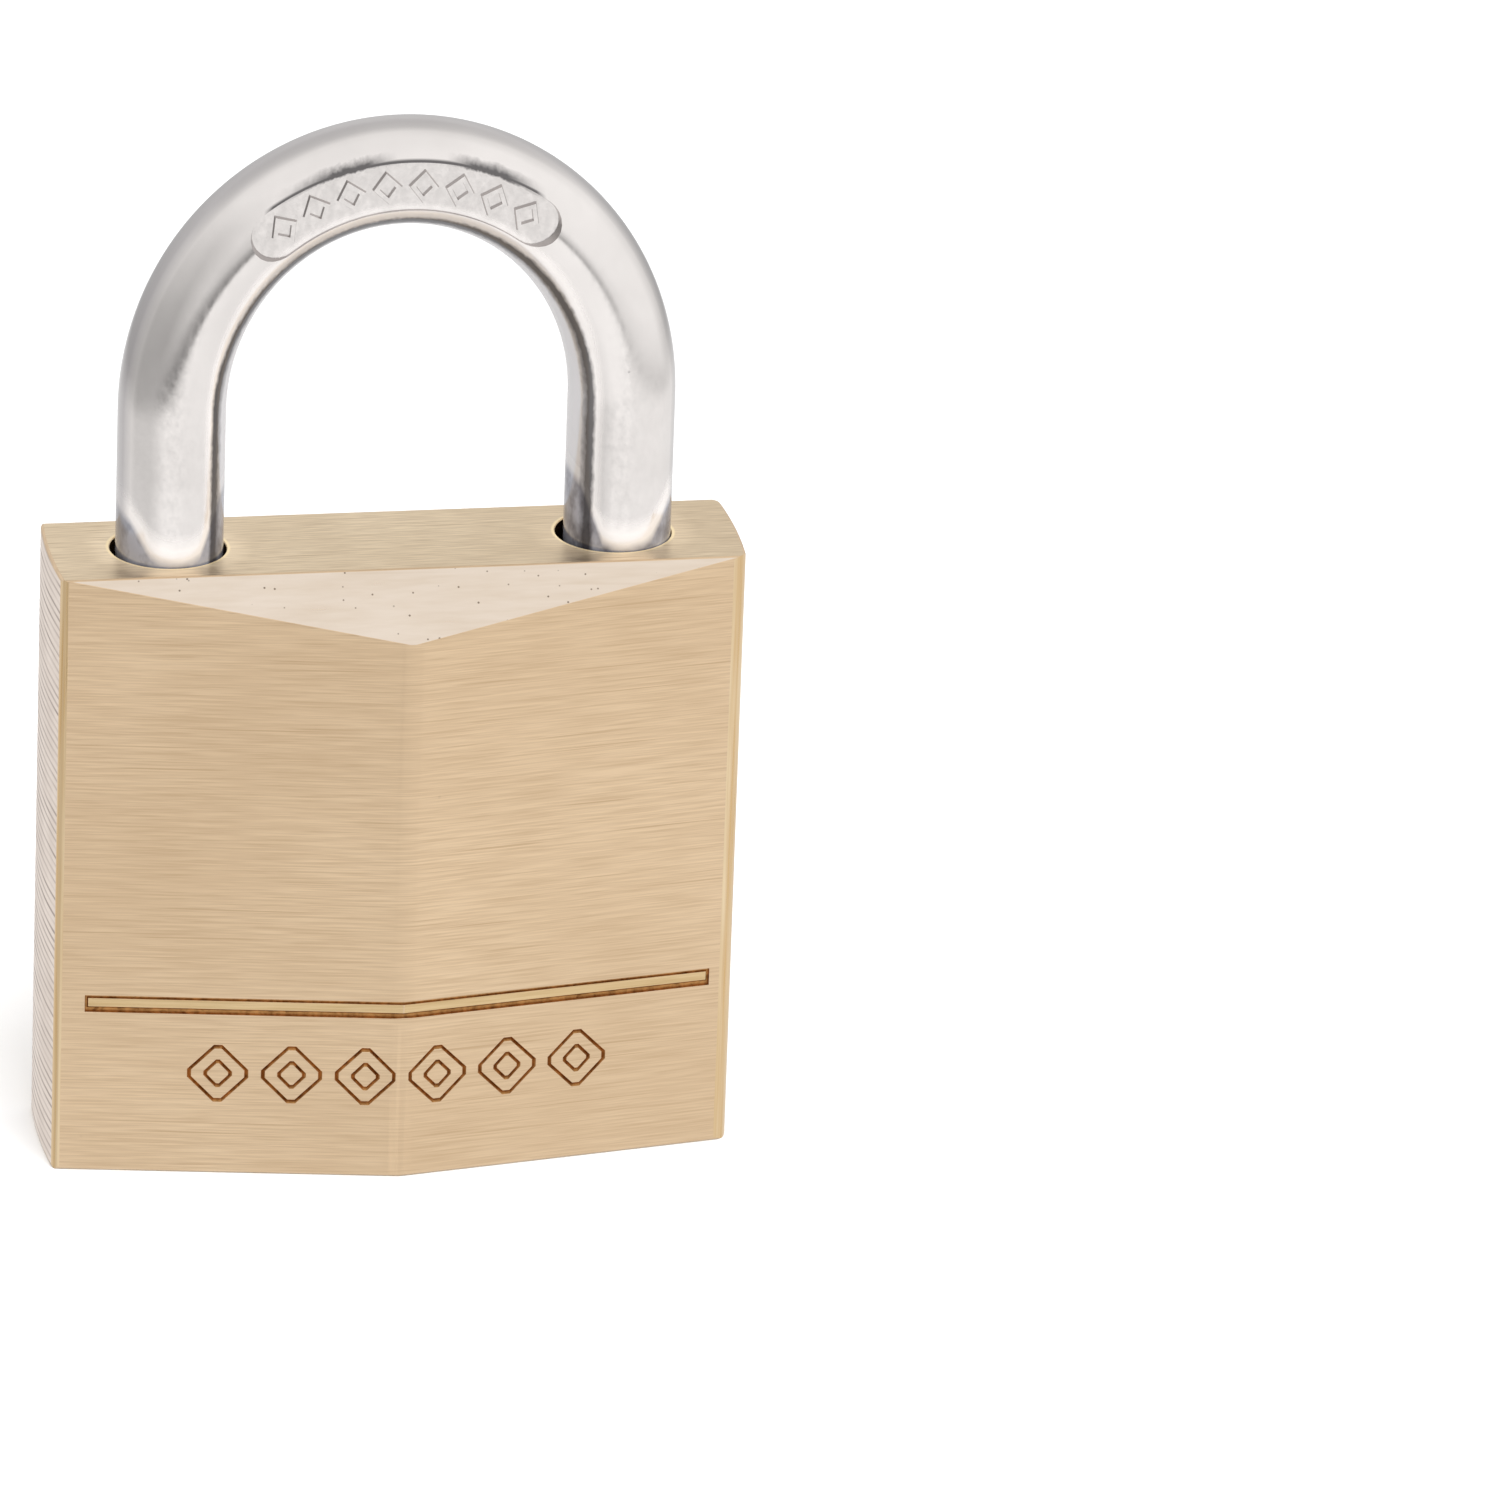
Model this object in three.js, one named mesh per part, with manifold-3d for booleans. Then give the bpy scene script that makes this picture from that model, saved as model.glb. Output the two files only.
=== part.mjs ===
// A solid-brass pin-tumbler padlock, closed and standing on its base.
// Millimetres, +Z up. The origin is the middle of the base, the crested front faces -Y, the
// short leg of the shackle (the toe) is at +X and the long, captive leg (the heel) is at -X.
// The cylinder plug rests at its open position, a quarter turn from where it locks.
import * as THREE from "three";
import { mergeVertices } from "three/addons/utils/BufferGeometryUtils.js";
import Module from "manifold-3d";

const wasm = await Module();
wasm.setup();

// ---- Driving dimensions -------------------------------------------------------------------

const BODY_WIDTH = 40;
const BODY_HEIGHT = 36.6;
const SIDE_THICKNESS = 9; // front corner to back corner, at either side
const CREST = 3.25; // how far each ridge stands out in front of its corners
const SIDE_BULGE = 0.2; // the sides are very slightly convex
const CORNER_CHAMFER = 0.5;
const CREST_BEVEL_DROP = 3.5; // the bevel at the top cuts each ridge this far down

const LEG_SPACING = 26;
const SHACKLE_RADIUS = 3.1;
const SHACKLE_HOLE_RADIUS = 3.35;
const HEEL_HOLE_X = -13.05;
const TOE_HOLE_X = 12.8; // set in a little, so that the toe always finds its hole
const CROWN_RISE = 22.6; // top of the body to the axis of the shackle's crown
const BEND_RISE = 14; // the bend is a little taller than it is wide
const TOE_DEPTH = 11.6; // how much of the toe is inside the body when closed
const TOE_HOLE_DEPTH = 12.1;
const SHACKLE_LIFT = 12.5;

const PLUG_RADIUS = 5.5;
const BORE_RADIUS = 5.56;
const PLUG_RECESS = 0.4; // the plug's face sits this far inside the base
const PLUG_TOP = 22.4;
const QUARTER_TURN = Math.PI / 2;

const PIN_RADIUS = 1.45;
const CHAMBER_RADIUS = 1.55;
const PIN_HEIGHTS = [4.6, 8.4, 12.2, 16];
const PIN_TIPS = [0.6, -0.2, 1.2, 0.3]; // where each key pin's point stands, from the plug's axis
const PLUG_RETAINER_HEIGHT = 20.6;

const BOLT_HEIGHT = 30; // mid-height of the two locking bolts
const BOLT_HALF_THICKNESS = 2.4;
const BOLT_HALF_WIDTH = 3.2;
const BOLT_TRAVEL = 1.6; // over a quarter turn of the plug
const BOLT_REACH = 10.9; // where the nose stands when locked
const TUNNEL_CLEARANCE = 0.2;
const CAM_PIN_RADIUS = 0.75;

const HEEL_NECK_RADIUS = 2;
const HEEL_COLLAR_TOP = 9.9; // below it the heel keeps its full diameter, so the retainer holds it in
const SHACKLE_RETAINER_RADIUS = 0.95;
const SHACKLE_RETAINER_HEIGHT = HEEL_COLLAR_TOP + SHACKLE_LIFT + SHACKLE_RETAINER_RADIUS + 0.15;
const HEEL_HOLE_FLOOR = 2;

// ---- Finishes -----------------------------------------------------------------------------

const brushedBrass = new THREE.MeshStandardMaterial({ color: 0xc9ab78, roughness: 0.42, metalness: 1 });
const cylinderBrass = new THREE.MeshStandardMaterial({ color: 0xc4a25f, roughness: 0.3, metalness: 1 });
const platedSteel = new THREE.MeshStandardMaterial({ color: 0xd4d1ce, roughness: 0.2, metalness: 1 });
const boltSteel = new THREE.MeshStandardMaterial({ color: 0x8f8d89, roughness: 0.4, metalness: 1 });
const springSteel = new THREE.MeshStandardMaterial({ color: 0xa8a6a2, roughness: 0.35, metalness: 1 });
const nickelSilver = new THREE.MeshStandardMaterial({ color: 0xbdb69f, roughness: 0.3, metalness: 1 });

// ---- Solids and meshes --------------------------------------------------------------------

function solidOf(geometry) {
  const bare = geometry.clone();
  bare.deleteAttribute("normal");
  bare.deleteAttribute("uv");
  const merged = mergeVertices(bare, 1e-5);
  return new wasm.Manifold(
    new wasm.Mesh({
      numProp: 3,
      vertProperties: new Float32Array(merged.attributes.position.array),
      triVerts: new Uint32Array(merged.index.array),
    }),
  );
}

function geometryOf(solid) {
  const mesh = solid.getMesh();
  const geometry = new THREE.BufferGeometry();
  geometry.setAttribute("position", new THREE.BufferAttribute(new Float32Array(mesh.vertProperties), 3));
  geometry.setIndex(new THREE.BufferAttribute(new Uint32Array(mesh.triVerts), 1));
  geometry.computeVertexNormals();
  return geometry;
}

function named(name, shape, material) {
  const mesh = new THREE.Mesh(shape.isBufferGeometry ? shape : geometryOf(shape), material);
  mesh.name = name;
  return mesh;
}

// A block between two corners.
function block(low, high) {
  const size = high.map((value, i) => value - low[i]);
  const geometry = new THREE.BoxGeometry(...size);
  geometry.translate(...low.map((value, i) => value + size[i] / 2));
  return geometry;
}

// A round bar standing along +Z.
function uprightBar(radius, bottom, top, x = 0, y = 0, sides = 32) {
  const geometry = new THREE.CylinderGeometry(radius, radius, top - bottom, sides);
  geometry.rotateX(Math.PI / 2);
  geometry.translate(x, y, (bottom + top) / 2);
  return geometry;
}

// A round bar lying along +X.
function crosswiseBar(radius, from, to, height, sides = 24) {
  const geometry = new THREE.CylinderGeometry(radius, radius, to - from, sides);
  geometry.rotateZ(-Math.PI / 2);
  geometry.translate((from + to) / 2, 0, height);
  return geometry;
}

// A turned piece lying along +X; its profile is a list of [position along X, radius].
function crosswiseTurning(profile, height, sides = 24) {
  const points = profile.map(([along, radius]) => new THREE.Vector2(radius, along));
  const geometry = new THREE.LatheGeometry(points, sides);
  geometry.rotateZ(-Math.PI / 2);
  geometry.translate(0, 0, height);
  return geometry;
}

function cut(base, ...tools) {
  return tools.reduce((left, tool) => left.subtract(solidOf(tool)), base);
}

// An outline in the XY plane, extruded from one height to another.
function plate(outline, bottom, top) {
  const geometry = new THREE.ExtrudeGeometry(outline, { depth: top - bottom, bevelEnabled: false, curveSegments: 8 });
  geometry.translate(0, 0, bottom);
  return geometry;
}

// A compression spring standing along +Z on the origin.
class Helix extends THREE.Curve {
  constructor(radius, length, turns) {
    super();
    Object.assign(this, { radius, length, turns });
  }

  getPoint(t, target = new THREE.Vector3()) {
    const angle = 2 * Math.PI * this.turns * t;
    return target.set(this.radius * Math.cos(angle), this.radius * Math.sin(angle), this.length * t);
  }
}

function coilSpring(meanRadius, wireRadius, length, turns, stepsPerTurn = 10) {
  const wire = new THREE.Shape().absarc(0, 0, wireRadius, 0, 2 * Math.PI);
  const path = new Helix(meanRadius, length - 2 * wireRadius, turns);
  const geometry = new THREE.ExtrudeGeometry(wire, {
    steps: Math.round(turns * stepsPerTurn),
    curveSegments: 3,
    extrudePath: path,
  });
  geometry.translate(0, 0, wireRadius);
  return geometry;
}

// ---- Lock body ----------------------------------------------------------------------------

// Plan of the drawn brass bar: a flat hexagon with a crest front and back, slightly convex
// sides and a small chamfer down each corner.
function bodyPlan() {
  const sideX = BODY_WIDTH / 2 - SIDE_BULGE;
  const cornerY = SIDE_THICKNESS / 2;
  const bulgeControl = BODY_WIDTH / 2 + SIDE_BULGE;
  const facetRise = (CREST * CORNER_CHAMFER) / sideX;
  const chamferX = sideX - CORNER_CHAMFER;
  const chamferY = cornerY - CORNER_CHAMFER;
  const plan = new THREE.Shape();
  plan.moveTo(0, -cornerY - CREST);
  plan.lineTo(chamferX, -cornerY - facetRise);
  plan.lineTo(sideX, -chamferY);
  plan.quadraticCurveTo(bulgeControl, 0, sideX, chamferY);
  plan.lineTo(chamferX, cornerY + facetRise);
  plan.lineTo(0, cornerY + CREST);
  plan.lineTo(-chamferX, cornerY + facetRise);
  plan.lineTo(-sideX, chamferY);
  plan.quadraticCurveTo(-bulgeControl, 0, -sideX, -chamferY);
  plan.lineTo(-chamferX, -cornerY - facetRise);
  plan.closePath();
  return plan;
}

// The wedge that is milled off the top of one crest; facing is -1 for the front, 1 for the back.
function crestWedge(facing) {
  const edge = SIDE_THICKNESS / 2;
  const beyond = 2 * CREST;
  const section = new THREE.Shape();
  section.moveTo(facing * edge, BODY_HEIGHT);
  section.lineTo(facing * (edge + beyond), BODY_HEIGHT - (beyond * CREST_BEVEL_DROP) / CREST);
  section.lineTo(facing * (edge + beyond), BODY_HEIGHT + beyond);
  section.lineTo(facing * edge, BODY_HEIGHT + beyond);
  section.closePath();
  const geometry = new THREE.ExtrudeGeometry(section, { depth: BODY_WIDTH + 2, bevelEnabled: false });
  geometry.translate(0, 0, -BODY_WIDTH / 2 - 1);
  geometry.rotateY(Math.PI / 2);
  geometry.rotateX(Math.PI / 2);
  return geometry;
}

function lockBody() {
  const through = 1; // cutters run past a face by this much
  const camRoof = BOLT_HEIGHT - BOLT_HALF_THICKNESS;
  const tunnelHalfWidth = BOLT_HALF_WIDTH + TUNNEL_CLEARANCE / 2;
  const tunnelHalfHeight = BOLT_HALF_THICKNESS + TUNNEL_CLEARANCE;
  const tunnelReach = BOLT_REACH + 2 * TUNNEL_CLEARANCE;
  const chambers = [...PIN_HEIGHTS, PLUG_RETAINER_HEIGHT].map((height) =>
    crosswiseBar(CHAMBER_RADIUS, PLUG_RADIUS - through, BODY_WIDTH / 2 + through, height),
  );
  const retainerHole = uprightBar(SHACKLE_RETAINER_RADIUS + 0.05, -SIDE_THICKNESS, -HEEL_NECK_RADIUS, 0, 0, 20);
  retainerHole.rotateX(Math.PI / 2);
  retainerHole.translate(-LEG_SPACING / 2, 0, SHACKLE_RETAINER_HEIGHT);
  return cut(
    solidOf(plate(bodyPlan(), 0, BODY_HEIGHT)),
    crestWedge(-1),
    crestWedge(1),
    uprightBar(SHACKLE_HOLE_RADIUS, BODY_HEIGHT - TOE_HOLE_DEPTH, BODY_HEIGHT + through, TOE_HOLE_X, 0, 40),
    uprightBar(SHACKLE_HOLE_RADIUS, HEEL_HOLE_FLOOR, BODY_HEIGHT + through, HEEL_HOLE_X, 0, 40),
    uprightBar(BORE_RADIUS, -through, camRoof, 0, 0, 64),
    block(
      [-tunnelReach, -tunnelHalfWidth, BOLT_HEIGHT - tunnelHalfHeight],
      [tunnelReach, tunnelHalfWidth, BOLT_HEIGHT + tunnelHalfHeight],
    ),
    retainerHole,
    ...chambers,
  );
}

// ---- Shackle ------------------------------------------------------------------------------

const HEEL_END = 7.4;
const HEEL_NECK_TOP = 24.7;
const NOTCH_DEPTH = 1.25;
const NOTCH_HALF_HEIGHT = 2.7;

// Up the toe, over the crown and down the heel.
function shacklePath() {
  const legX = LEG_SPACING / 2;
  const archCentre = BODY_HEIGHT + CROWN_RISE - BEND_RISE;
  const toeEnd = BODY_HEIGHT - TOE_DEPTH;
  const path = new THREE.CurvePath();
  path.add(new THREE.LineCurve3(new THREE.Vector3(legX, 0, toeEnd), new THREE.Vector3(legX, 0, archCentre)));
  path.add(new ArchCurve(legX, BEND_RISE, archCentre));
  path.add(new THREE.LineCurve3(new THREE.Vector3(-legX, 0, archCentre), new THREE.Vector3(-legX, 0, HEEL_END)));
  return path;
}

// Half an ellipse, standing on two points at the same height.
class ArchCurve extends THREE.Curve {
  constructor(halfSpan, rise, height) {
    super();
    Object.assign(this, { halfSpan, rise, height });
  }

  getPoint(t, target = new THREE.Vector3()) {
    const angle = Math.PI * t;
    return target.set(this.halfSpan * Math.cos(angle), 0, this.height + this.rise * Math.sin(angle));
  }
}

function shackle() {
  const legX = LEG_SPACING / 2;
  const section = new THREE.Shape().absarc(0, 0, SHACKLE_RADIUS, 0, 2 * Math.PI);
  const bar = new THREE.ExtrudeGeometry(section, { steps: 56, curveSegments: 12, extrudePath: shacklePath() });
  const sleeve = solidOf(uprightBar(2 * SHACKLE_RADIUS, HEEL_COLLAR_TOP, HEEL_NECK_TOP, -legX)).subtract(
    solidOf(uprightBar(HEEL_NECK_RADIUS, HEEL_END, BODY_HEIGHT, -legX, 0, 24)),
  );
  const notchFloor = legX - SHACKLE_RADIUS + NOTCH_DEPTH;
  const notches = block(
    [-notchFloor, -legX, BOLT_HEIGHT - NOTCH_HALF_HEIGHT],
    [notchFloor, legX, BOLT_HEIGHT + NOTCH_HALF_HEIGHT],
  );
  return cut(solidOf(bar).subtract(sleeve), notches);
}

function shackleSpring() {
  const gap = 0.2;
  const spring = coilSpring(2.3, 0.3, HEEL_END - HEEL_HOLE_FLOOR - 2 * gap, 6, 12);
  spring.translate(-LEG_SPACING / 2, 0, HEEL_HOLE_FLOOR + gap);
  return spring;
}

// Pressed in from the back, it stands in the heel's turned neck and stops the lift.
function shackleRetainerPin() {
  const tip = HEEL_NECK_RADIUS + 0.25;
  const head = SIDE_THICKNESS / 2 + CREST * (1 - LEG_SPACING / BODY_WIDTH) - 0.15;
  const pin = uprightBar(SHACKLE_RETAINER_RADIUS, -head, -tip, 0, 0, 20);
  pin.rotateX(Math.PI / 2);
  pin.translate(-LEG_SPACING / 2, 0, SHACKLE_RETAINER_HEIGHT);
  return pin;
}

// ---- Cylinder plug, drawn where it locks: its pin holes face +X ---------------------------

const KEYWAY_TOP = 19;
const PIN_HOLE_FLOOR = -1.6;
const RETAINER_GROOVE_RADIUS = 4.3;
const RETAINER_GROOVE_HALF_WIDTH = 1;
const SOCKET_HALF_WIDTH = 2.1;
const SOCKET_FLOOR = 20.7;

// The warded slot that a key's grooved blade fits.
function keywayOutline() {
  const half = 1;
  const outline = new THREE.Shape();
  outline.moveTo(-4.7, -half);
  outline.lineTo(-2.7, -half);
  outline.lineTo(-2.5, -0.25);
  outline.lineTo(-1.2, -0.25);
  outline.lineTo(-1, -half);
  outline.lineTo(4, -half);
  outline.lineTo(4, half);
  outline.lineTo(1.4, half);
  outline.lineTo(1.2, 0.45);
  outline.lineTo(0.3, 0.45);
  outline.lineTo(0.1, half);
  outline.lineTo(-4.7, half);
  outline.closePath();
  return outline;
}

function cylinderPlug() {
  const outside = 2 * PLUG_RADIUS;
  const groove = solidOf(
    uprightBar(
      outside,
      PLUG_RETAINER_HEIGHT - RETAINER_GROOVE_HALF_WIDTH,
      PLUG_RETAINER_HEIGHT + RETAINER_GROOVE_HALF_WIDTH,
    ),
  ).subtract(solidOf(uprightBar(RETAINER_GROOVE_RADIUS, 0, BODY_HEIGHT, 0, 0, 48)));
  const pinHoles = PIN_HEIGHTS.map((height) =>
    crosswiseBar(CHAMBER_RADIUS, PIN_HOLE_FLOOR, outside, height),
  );
  return cut(
    solidOf(uprightBar(PLUG_RADIUS, PLUG_RECESS, PLUG_TOP, 0, 0, 64)).subtract(groove),
    plate(keywayOutline(), -1, KEYWAY_TOP),
    block(
      [-SOCKET_HALF_WIDTH, -SOCKET_HALF_WIDTH, SOCKET_FLOOR],
      [SOCKET_HALF_WIDTH, SOCKET_HALF_WIDTH, PLUG_TOP + 1],
    ),
    ...pinHoles,
  );
}

// The drive plate on top of the plug: a square tang below, two eccentric pins above.
function drivePlate() {
  const tangHalf = SOCKET_HALF_WIDTH - 0.15;
  const hubBottom = PLUG_TOP + 0.3;
  const discBottom = 24.7;
  const discTop = 27.1;
  const pinTop = BOLT_HEIGHT + BOLT_HALF_THICKNESS - 0.4;
  const parts = [
    uprightBar(3.5, hubBottom, discBottom + 0.5),
    uprightBar(5.3, discBottom, discTop, 0, 0, 48),
    uprightBar(CAM_PIN_RADIUS, discBottom, pinTop, BOLT_TRAVEL, 0, 20),
    uprightBar(CAM_PIN_RADIUS, discBottom, pinTop, -BOLT_TRAVEL, 0, 20),
  ];
  const tang = solidOf(block([-tangHalf, -tangHalf, SOCKET_FLOOR + 0.3], [tangHalf, tangHalf, discBottom]));
  return parts.reduce((whole, part) => whole.add(solidOf(part)), tang);
}

function keyPin(tip, height) {
  const head = PLUG_RADIUS - 0.05;
  const cone = 1;
  const profile = [
    [tip, 0],
    [tip, 0.35],
    [tip + cone, PIN_RADIUS],
    [head - 0.4, PIN_RADIUS],
    [head, 0.75],
    [head, 0],
  ];
  return crosswiseTurning(profile, height);
}

// ---- Pin chambers in the body -------------------------------------------------------------

const DRIVER_INNER = 5.64;
const DRIVER_LENGTH = 3.8;
const CAP_INNER = 16.4;
const CAP_OUTER = 19.9;

function driverPin(height) {
  const outer = DRIVER_INNER + DRIVER_LENGTH;
  const profile = [
    [DRIVER_INNER, 0],
    [DRIVER_INNER, PIN_RADIUS - 0.25],
    [DRIVER_INNER + 0.25, PIN_RADIUS],
    [outer - 0.25, PIN_RADIUS],
    [outer, PIN_RADIUS - 0.25],
    [outer, 0],
  ];
  return crosswiseTurning(profile, height);
}

function pinSpring(height) {
  const gap = 0.15;
  const inner = DRIVER_INNER + DRIVER_LENGTH + gap;
  const spring = coilSpring(1.15, 0.18, CAP_INNER - gap - inner, 6);
  spring.rotateY(Math.PI / 2);
  spring.translate(inner, 0, height);
  return spring;
}

function plugRetainerPin() {
  const tip = RETAINER_GROOVE_RADIUS + 0.25;
  const shoulder = BORE_RADIUS + 0.3;
  const profile = [
    [tip, 0],
    [tip, 0.85],
    [shoulder, 0.85],
    [shoulder, PIN_RADIUS + 0.05],
    [CAP_INNER - 0.15, PIN_RADIUS + 0.05],
    [CAP_INNER - 0.15, 0],
  ];
  return crosswiseTurning(profile, PLUG_RETAINER_HEIGHT);
}

function chamberCap(height) {
  return crosswiseBar(CHAMBER_RADIUS - 0.03, CAP_INNER, CAP_OUTER, height);
}

// ---- Locking bolts, drawn where they lock -------------------------------------------------

const TONGUE_SPLIT = 0.1; // each tongue keeps this far to its own side of the middle
const TONGUE_TIP = -0.3;
const HEAD_INNER = 6.1;

// A straight slot with a round end. As a bolt slides at a constant ratio to the turn, its cam
// pin's path across it bows a little, so the slot is wider than the pin by that bow.
function camSlot() {
  const ratio = BOLT_TRAVEL / QUARTER_TURN;
  const turnAtBow = Math.asin(ratio / BOLT_TRAVEL);
  const bow = BOLT_TRAVEL * Math.cos(turnAtBow) + ratio * turnAtBow - BOLT_TRAVEL;
  const middle = BOLT_TRAVEL + bow / 2;
  const halfWidth = CAM_PIN_RADIUS + 0.1 + bow / 2;
  const mouth = -1;
  const slot = new THREE.Shape();
  slot.moveTo(middle - halfWidth, mouth);
  slot.lineTo(middle + halfWidth, mouth);
  slot.absarc(middle, BOLT_TRAVEL, halfWidth, 0, Math.PI);
  slot.closePath();
  return slot;
}

// The toe-side bolt: a blunt head that enters the shackle's notch, and a tongue beside the
// middle with the cam slot. The heel-side bolt is the same piece turned half round.
function lockingBolt() {
  const noseChamfer = 0.4;
  const bottom = BOLT_HEIGHT - BOLT_HALF_THICKNESS;
  const top = BOLT_HEIGHT + BOLT_HALF_THICKNESS;
  const outline = new THREE.Shape();
  outline.moveTo(HEAD_INNER, -BOLT_HALF_WIDTH);
  outline.lineTo(BOLT_REACH - noseChamfer, -BOLT_HALF_WIDTH);
  outline.lineTo(BOLT_REACH, -BOLT_HALF_WIDTH + noseChamfer);
  outline.lineTo(BOLT_REACH, BOLT_HALF_WIDTH - noseChamfer);
  outline.lineTo(BOLT_REACH - noseChamfer, BOLT_HALF_WIDTH);
  outline.lineTo(TONGUE_TIP, BOLT_HALF_WIDTH);
  outline.lineTo(TONGUE_TIP, TONGUE_SPLIT);
  outline.lineTo(HEAD_INNER, TONGUE_SPLIT);
  outline.closePath();
  return cut(solidOf(plate(outline, bottom, top)), plate(camSlot(), bottom - 1, top + 1));
}

// Between one bolt's tongue and the other bolt's head, with the bolts drawn in.
function boltSpring() {
  const gap = 0.15;
  const from = -HEAD_INNER + BOLT_TRAVEL + gap;
  const to = TONGUE_TIP - BOLT_TRAVEL - gap;
  const spring = coilSpring(1, 0.16, to - from, 3.5);
  spring.rotateY(Math.PI / 2);
  spring.translate(from, (TONGUE_SPLIT + BOLT_HALF_WIDTH) / 2, BOLT_HEIGHT);
  return spring;
}

// ---- Assembly -----------------------------------------------------------------------------

const padlock = new THREE.Group();
padlock.add(
  named("lock_body", lockBody(), brushedBrass),
  named("shackle", shackle(), platedSteel),
  named("shackle_spring", shackleSpring(), springSteel),
  named("shackle_retainer_pin", shackleRetainerPin(), boltSteel),
  named("plug_retainer_pin", plugRetainerPin(), boltSteel),
);

const plugGroup = new THREE.Group();
plugGroup.rotation.z = QUARTER_TURN;
plugGroup.add(named("cylinder_plug", cylinderPlug(), cylinderBrass), named("drive_plate", drivePlate(), boltSteel));
PIN_HEIGHTS.forEach((height, i) => {
  plugGroup.add(named(`key_pin_${i + 1}`, keyPin(PIN_TIPS[i], height), cylinderBrass));
  padlock.add(
    named(`driver_pin_${i + 1}`, driverPin(height), nickelSilver),
    named(`pin_spring_${i + 1}`, pinSpring(height), springSteel),
  );
});
padlock.add(plugGroup);

[...PIN_HEIGHTS, PLUG_RETAINER_HEIGHT].forEach((height, i) => {
  padlock.add(named(`chamber_cap_${i + 1}`, chamberCap(height), brushedBrass));
});

const toeBolt = named("toe_bolt", lockingBolt(), boltSteel);
toeBolt.position.x = -BOLT_TRAVEL;
const heelBolt = named("heel_bolt", lockingBolt(), boltSteel);
heelBolt.rotation.z = Math.PI;
heelBolt.position.x = BOLT_TRAVEL;
const frontBoltSpring = named("front_bolt_spring", boltSpring(), springSteel);
frontBoltSpring.rotation.z = Math.PI;
padlock.add(toeBolt, heelBolt, frontBoltSpring, named("back_bolt_spring", boltSpring(), springSteel));

export default padlock;
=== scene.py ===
import math

import bmesh
import bpy
from mathutils import Matrix, Vector


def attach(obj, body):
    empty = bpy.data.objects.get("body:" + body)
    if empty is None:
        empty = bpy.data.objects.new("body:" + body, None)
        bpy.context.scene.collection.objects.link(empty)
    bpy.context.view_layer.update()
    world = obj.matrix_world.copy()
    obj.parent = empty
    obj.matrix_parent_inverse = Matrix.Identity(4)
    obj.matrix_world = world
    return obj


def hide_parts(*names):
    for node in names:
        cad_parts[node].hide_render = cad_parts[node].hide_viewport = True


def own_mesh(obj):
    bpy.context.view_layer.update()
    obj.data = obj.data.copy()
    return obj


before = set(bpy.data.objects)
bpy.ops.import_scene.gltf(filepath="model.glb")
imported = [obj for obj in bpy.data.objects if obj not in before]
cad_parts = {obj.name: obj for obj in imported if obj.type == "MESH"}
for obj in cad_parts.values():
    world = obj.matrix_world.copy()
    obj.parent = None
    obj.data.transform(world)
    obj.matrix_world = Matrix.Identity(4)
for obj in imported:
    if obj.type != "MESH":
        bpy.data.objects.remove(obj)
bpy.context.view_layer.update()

# ---- Table, light and camera ----
# The padlock stands on a plain white table. Its metal mirrors a pale studio room, brightest at
# the right and overhead, with a dark gap between the table and the walls. Sizes are in metres.

scene = bpy.context.scene
scene.view_settings.view_transform = "Standard"


def link(node_tree, source, target):
    node_tree.links.new(source, target)


table_reach = 3
table_corners = [(x * table_reach, y * table_reach, 0) for x, y in ((-1, -1), (1, -1), (1, 1), (-1, 1))]
table_mesh = bpy.data.meshes.new("table_top")
table_mesh.from_pydata(table_corners, [], [(0, 1, 2, 3)])
table = bpy.data.objects.new("table_top", table_mesh)
scene.collection.objects.link(table)
table_finish = bpy.data.materials.new("white_table")
table_finish.use_nodes = True
table_tree = table_finish.node_tree
paper = table_tree.nodes["Principled BSDF"]
paper.inputs["Base Color"].default_value = (0.9, 0.9, 0.9, 1)
paper.inputs["Roughness"].default_value = 0.9
# The table has no underside, so the base of the padlock can be looked at from below.
one_sided = table_tree.nodes.new("ShaderNodeMixShader")
link(table_tree, table_tree.nodes.new("ShaderNodeNewGeometry").outputs["Backfacing"], one_sided.inputs[0])
link(table_tree, paper.outputs[0], one_sided.inputs[1])
link(table_tree, table_tree.nodes.new("ShaderNodeBsdfTransparent").outputs[0], one_sided.inputs[2])
link(table_tree, one_sided.outputs[0], table_tree.nodes["Material Output"].inputs["Surface"])
table_mesh.materials.append(table_finish)
table.visible_glossy = False


def wall(tree, height, levels):
    """How bright one wall of the room is at each height, as (height from 0 to 1, level) pairs."""
    ramp = tree.nodes.new("ShaderNodeValToRGB")
    while len(ramp.color_ramp.elements) < len(levels):
        ramp.color_ramp.elements.new(0.5)
    for element, (place, level) in zip(ramp.color_ramp.elements, levels):
        element.position = place
        element.color = (level, level, level, 1)
    link(tree, height, ramp.inputs[0])
    return ramp.outputs[0]


def mixed(tree, amount, first, second):
    """Mixes two colours, each given as a colour or as another node's output."""
    mix = tree.nodes.new("ShaderNodeMix")
    mix.data_type = "RGBA"
    for socket, value in ((0, amount), (6, first), (7, second)):
        if isinstance(value, bpy.types.NodeSocket):
            link(tree, value, mix.inputs[socket])
        else:
            mix.inputs[socket].default_value = value
    return mix.outputs[2]


def span(tree, value, start, end, at_start=0.0, at_end=1.0):
    """One level where a value is at its start or before, another where it is at its end or past it."""
    step = tree.nodes.new("ShaderNodeMapRange")
    for socket, level in zip(("From Min", "From Max", "To Min", "To Max"), (start, end, at_start, at_end)):
        step.inputs[socket].default_value = level
    link(tree, value, step.inputs["Value"])
    return step.outputs["Result"]


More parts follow.
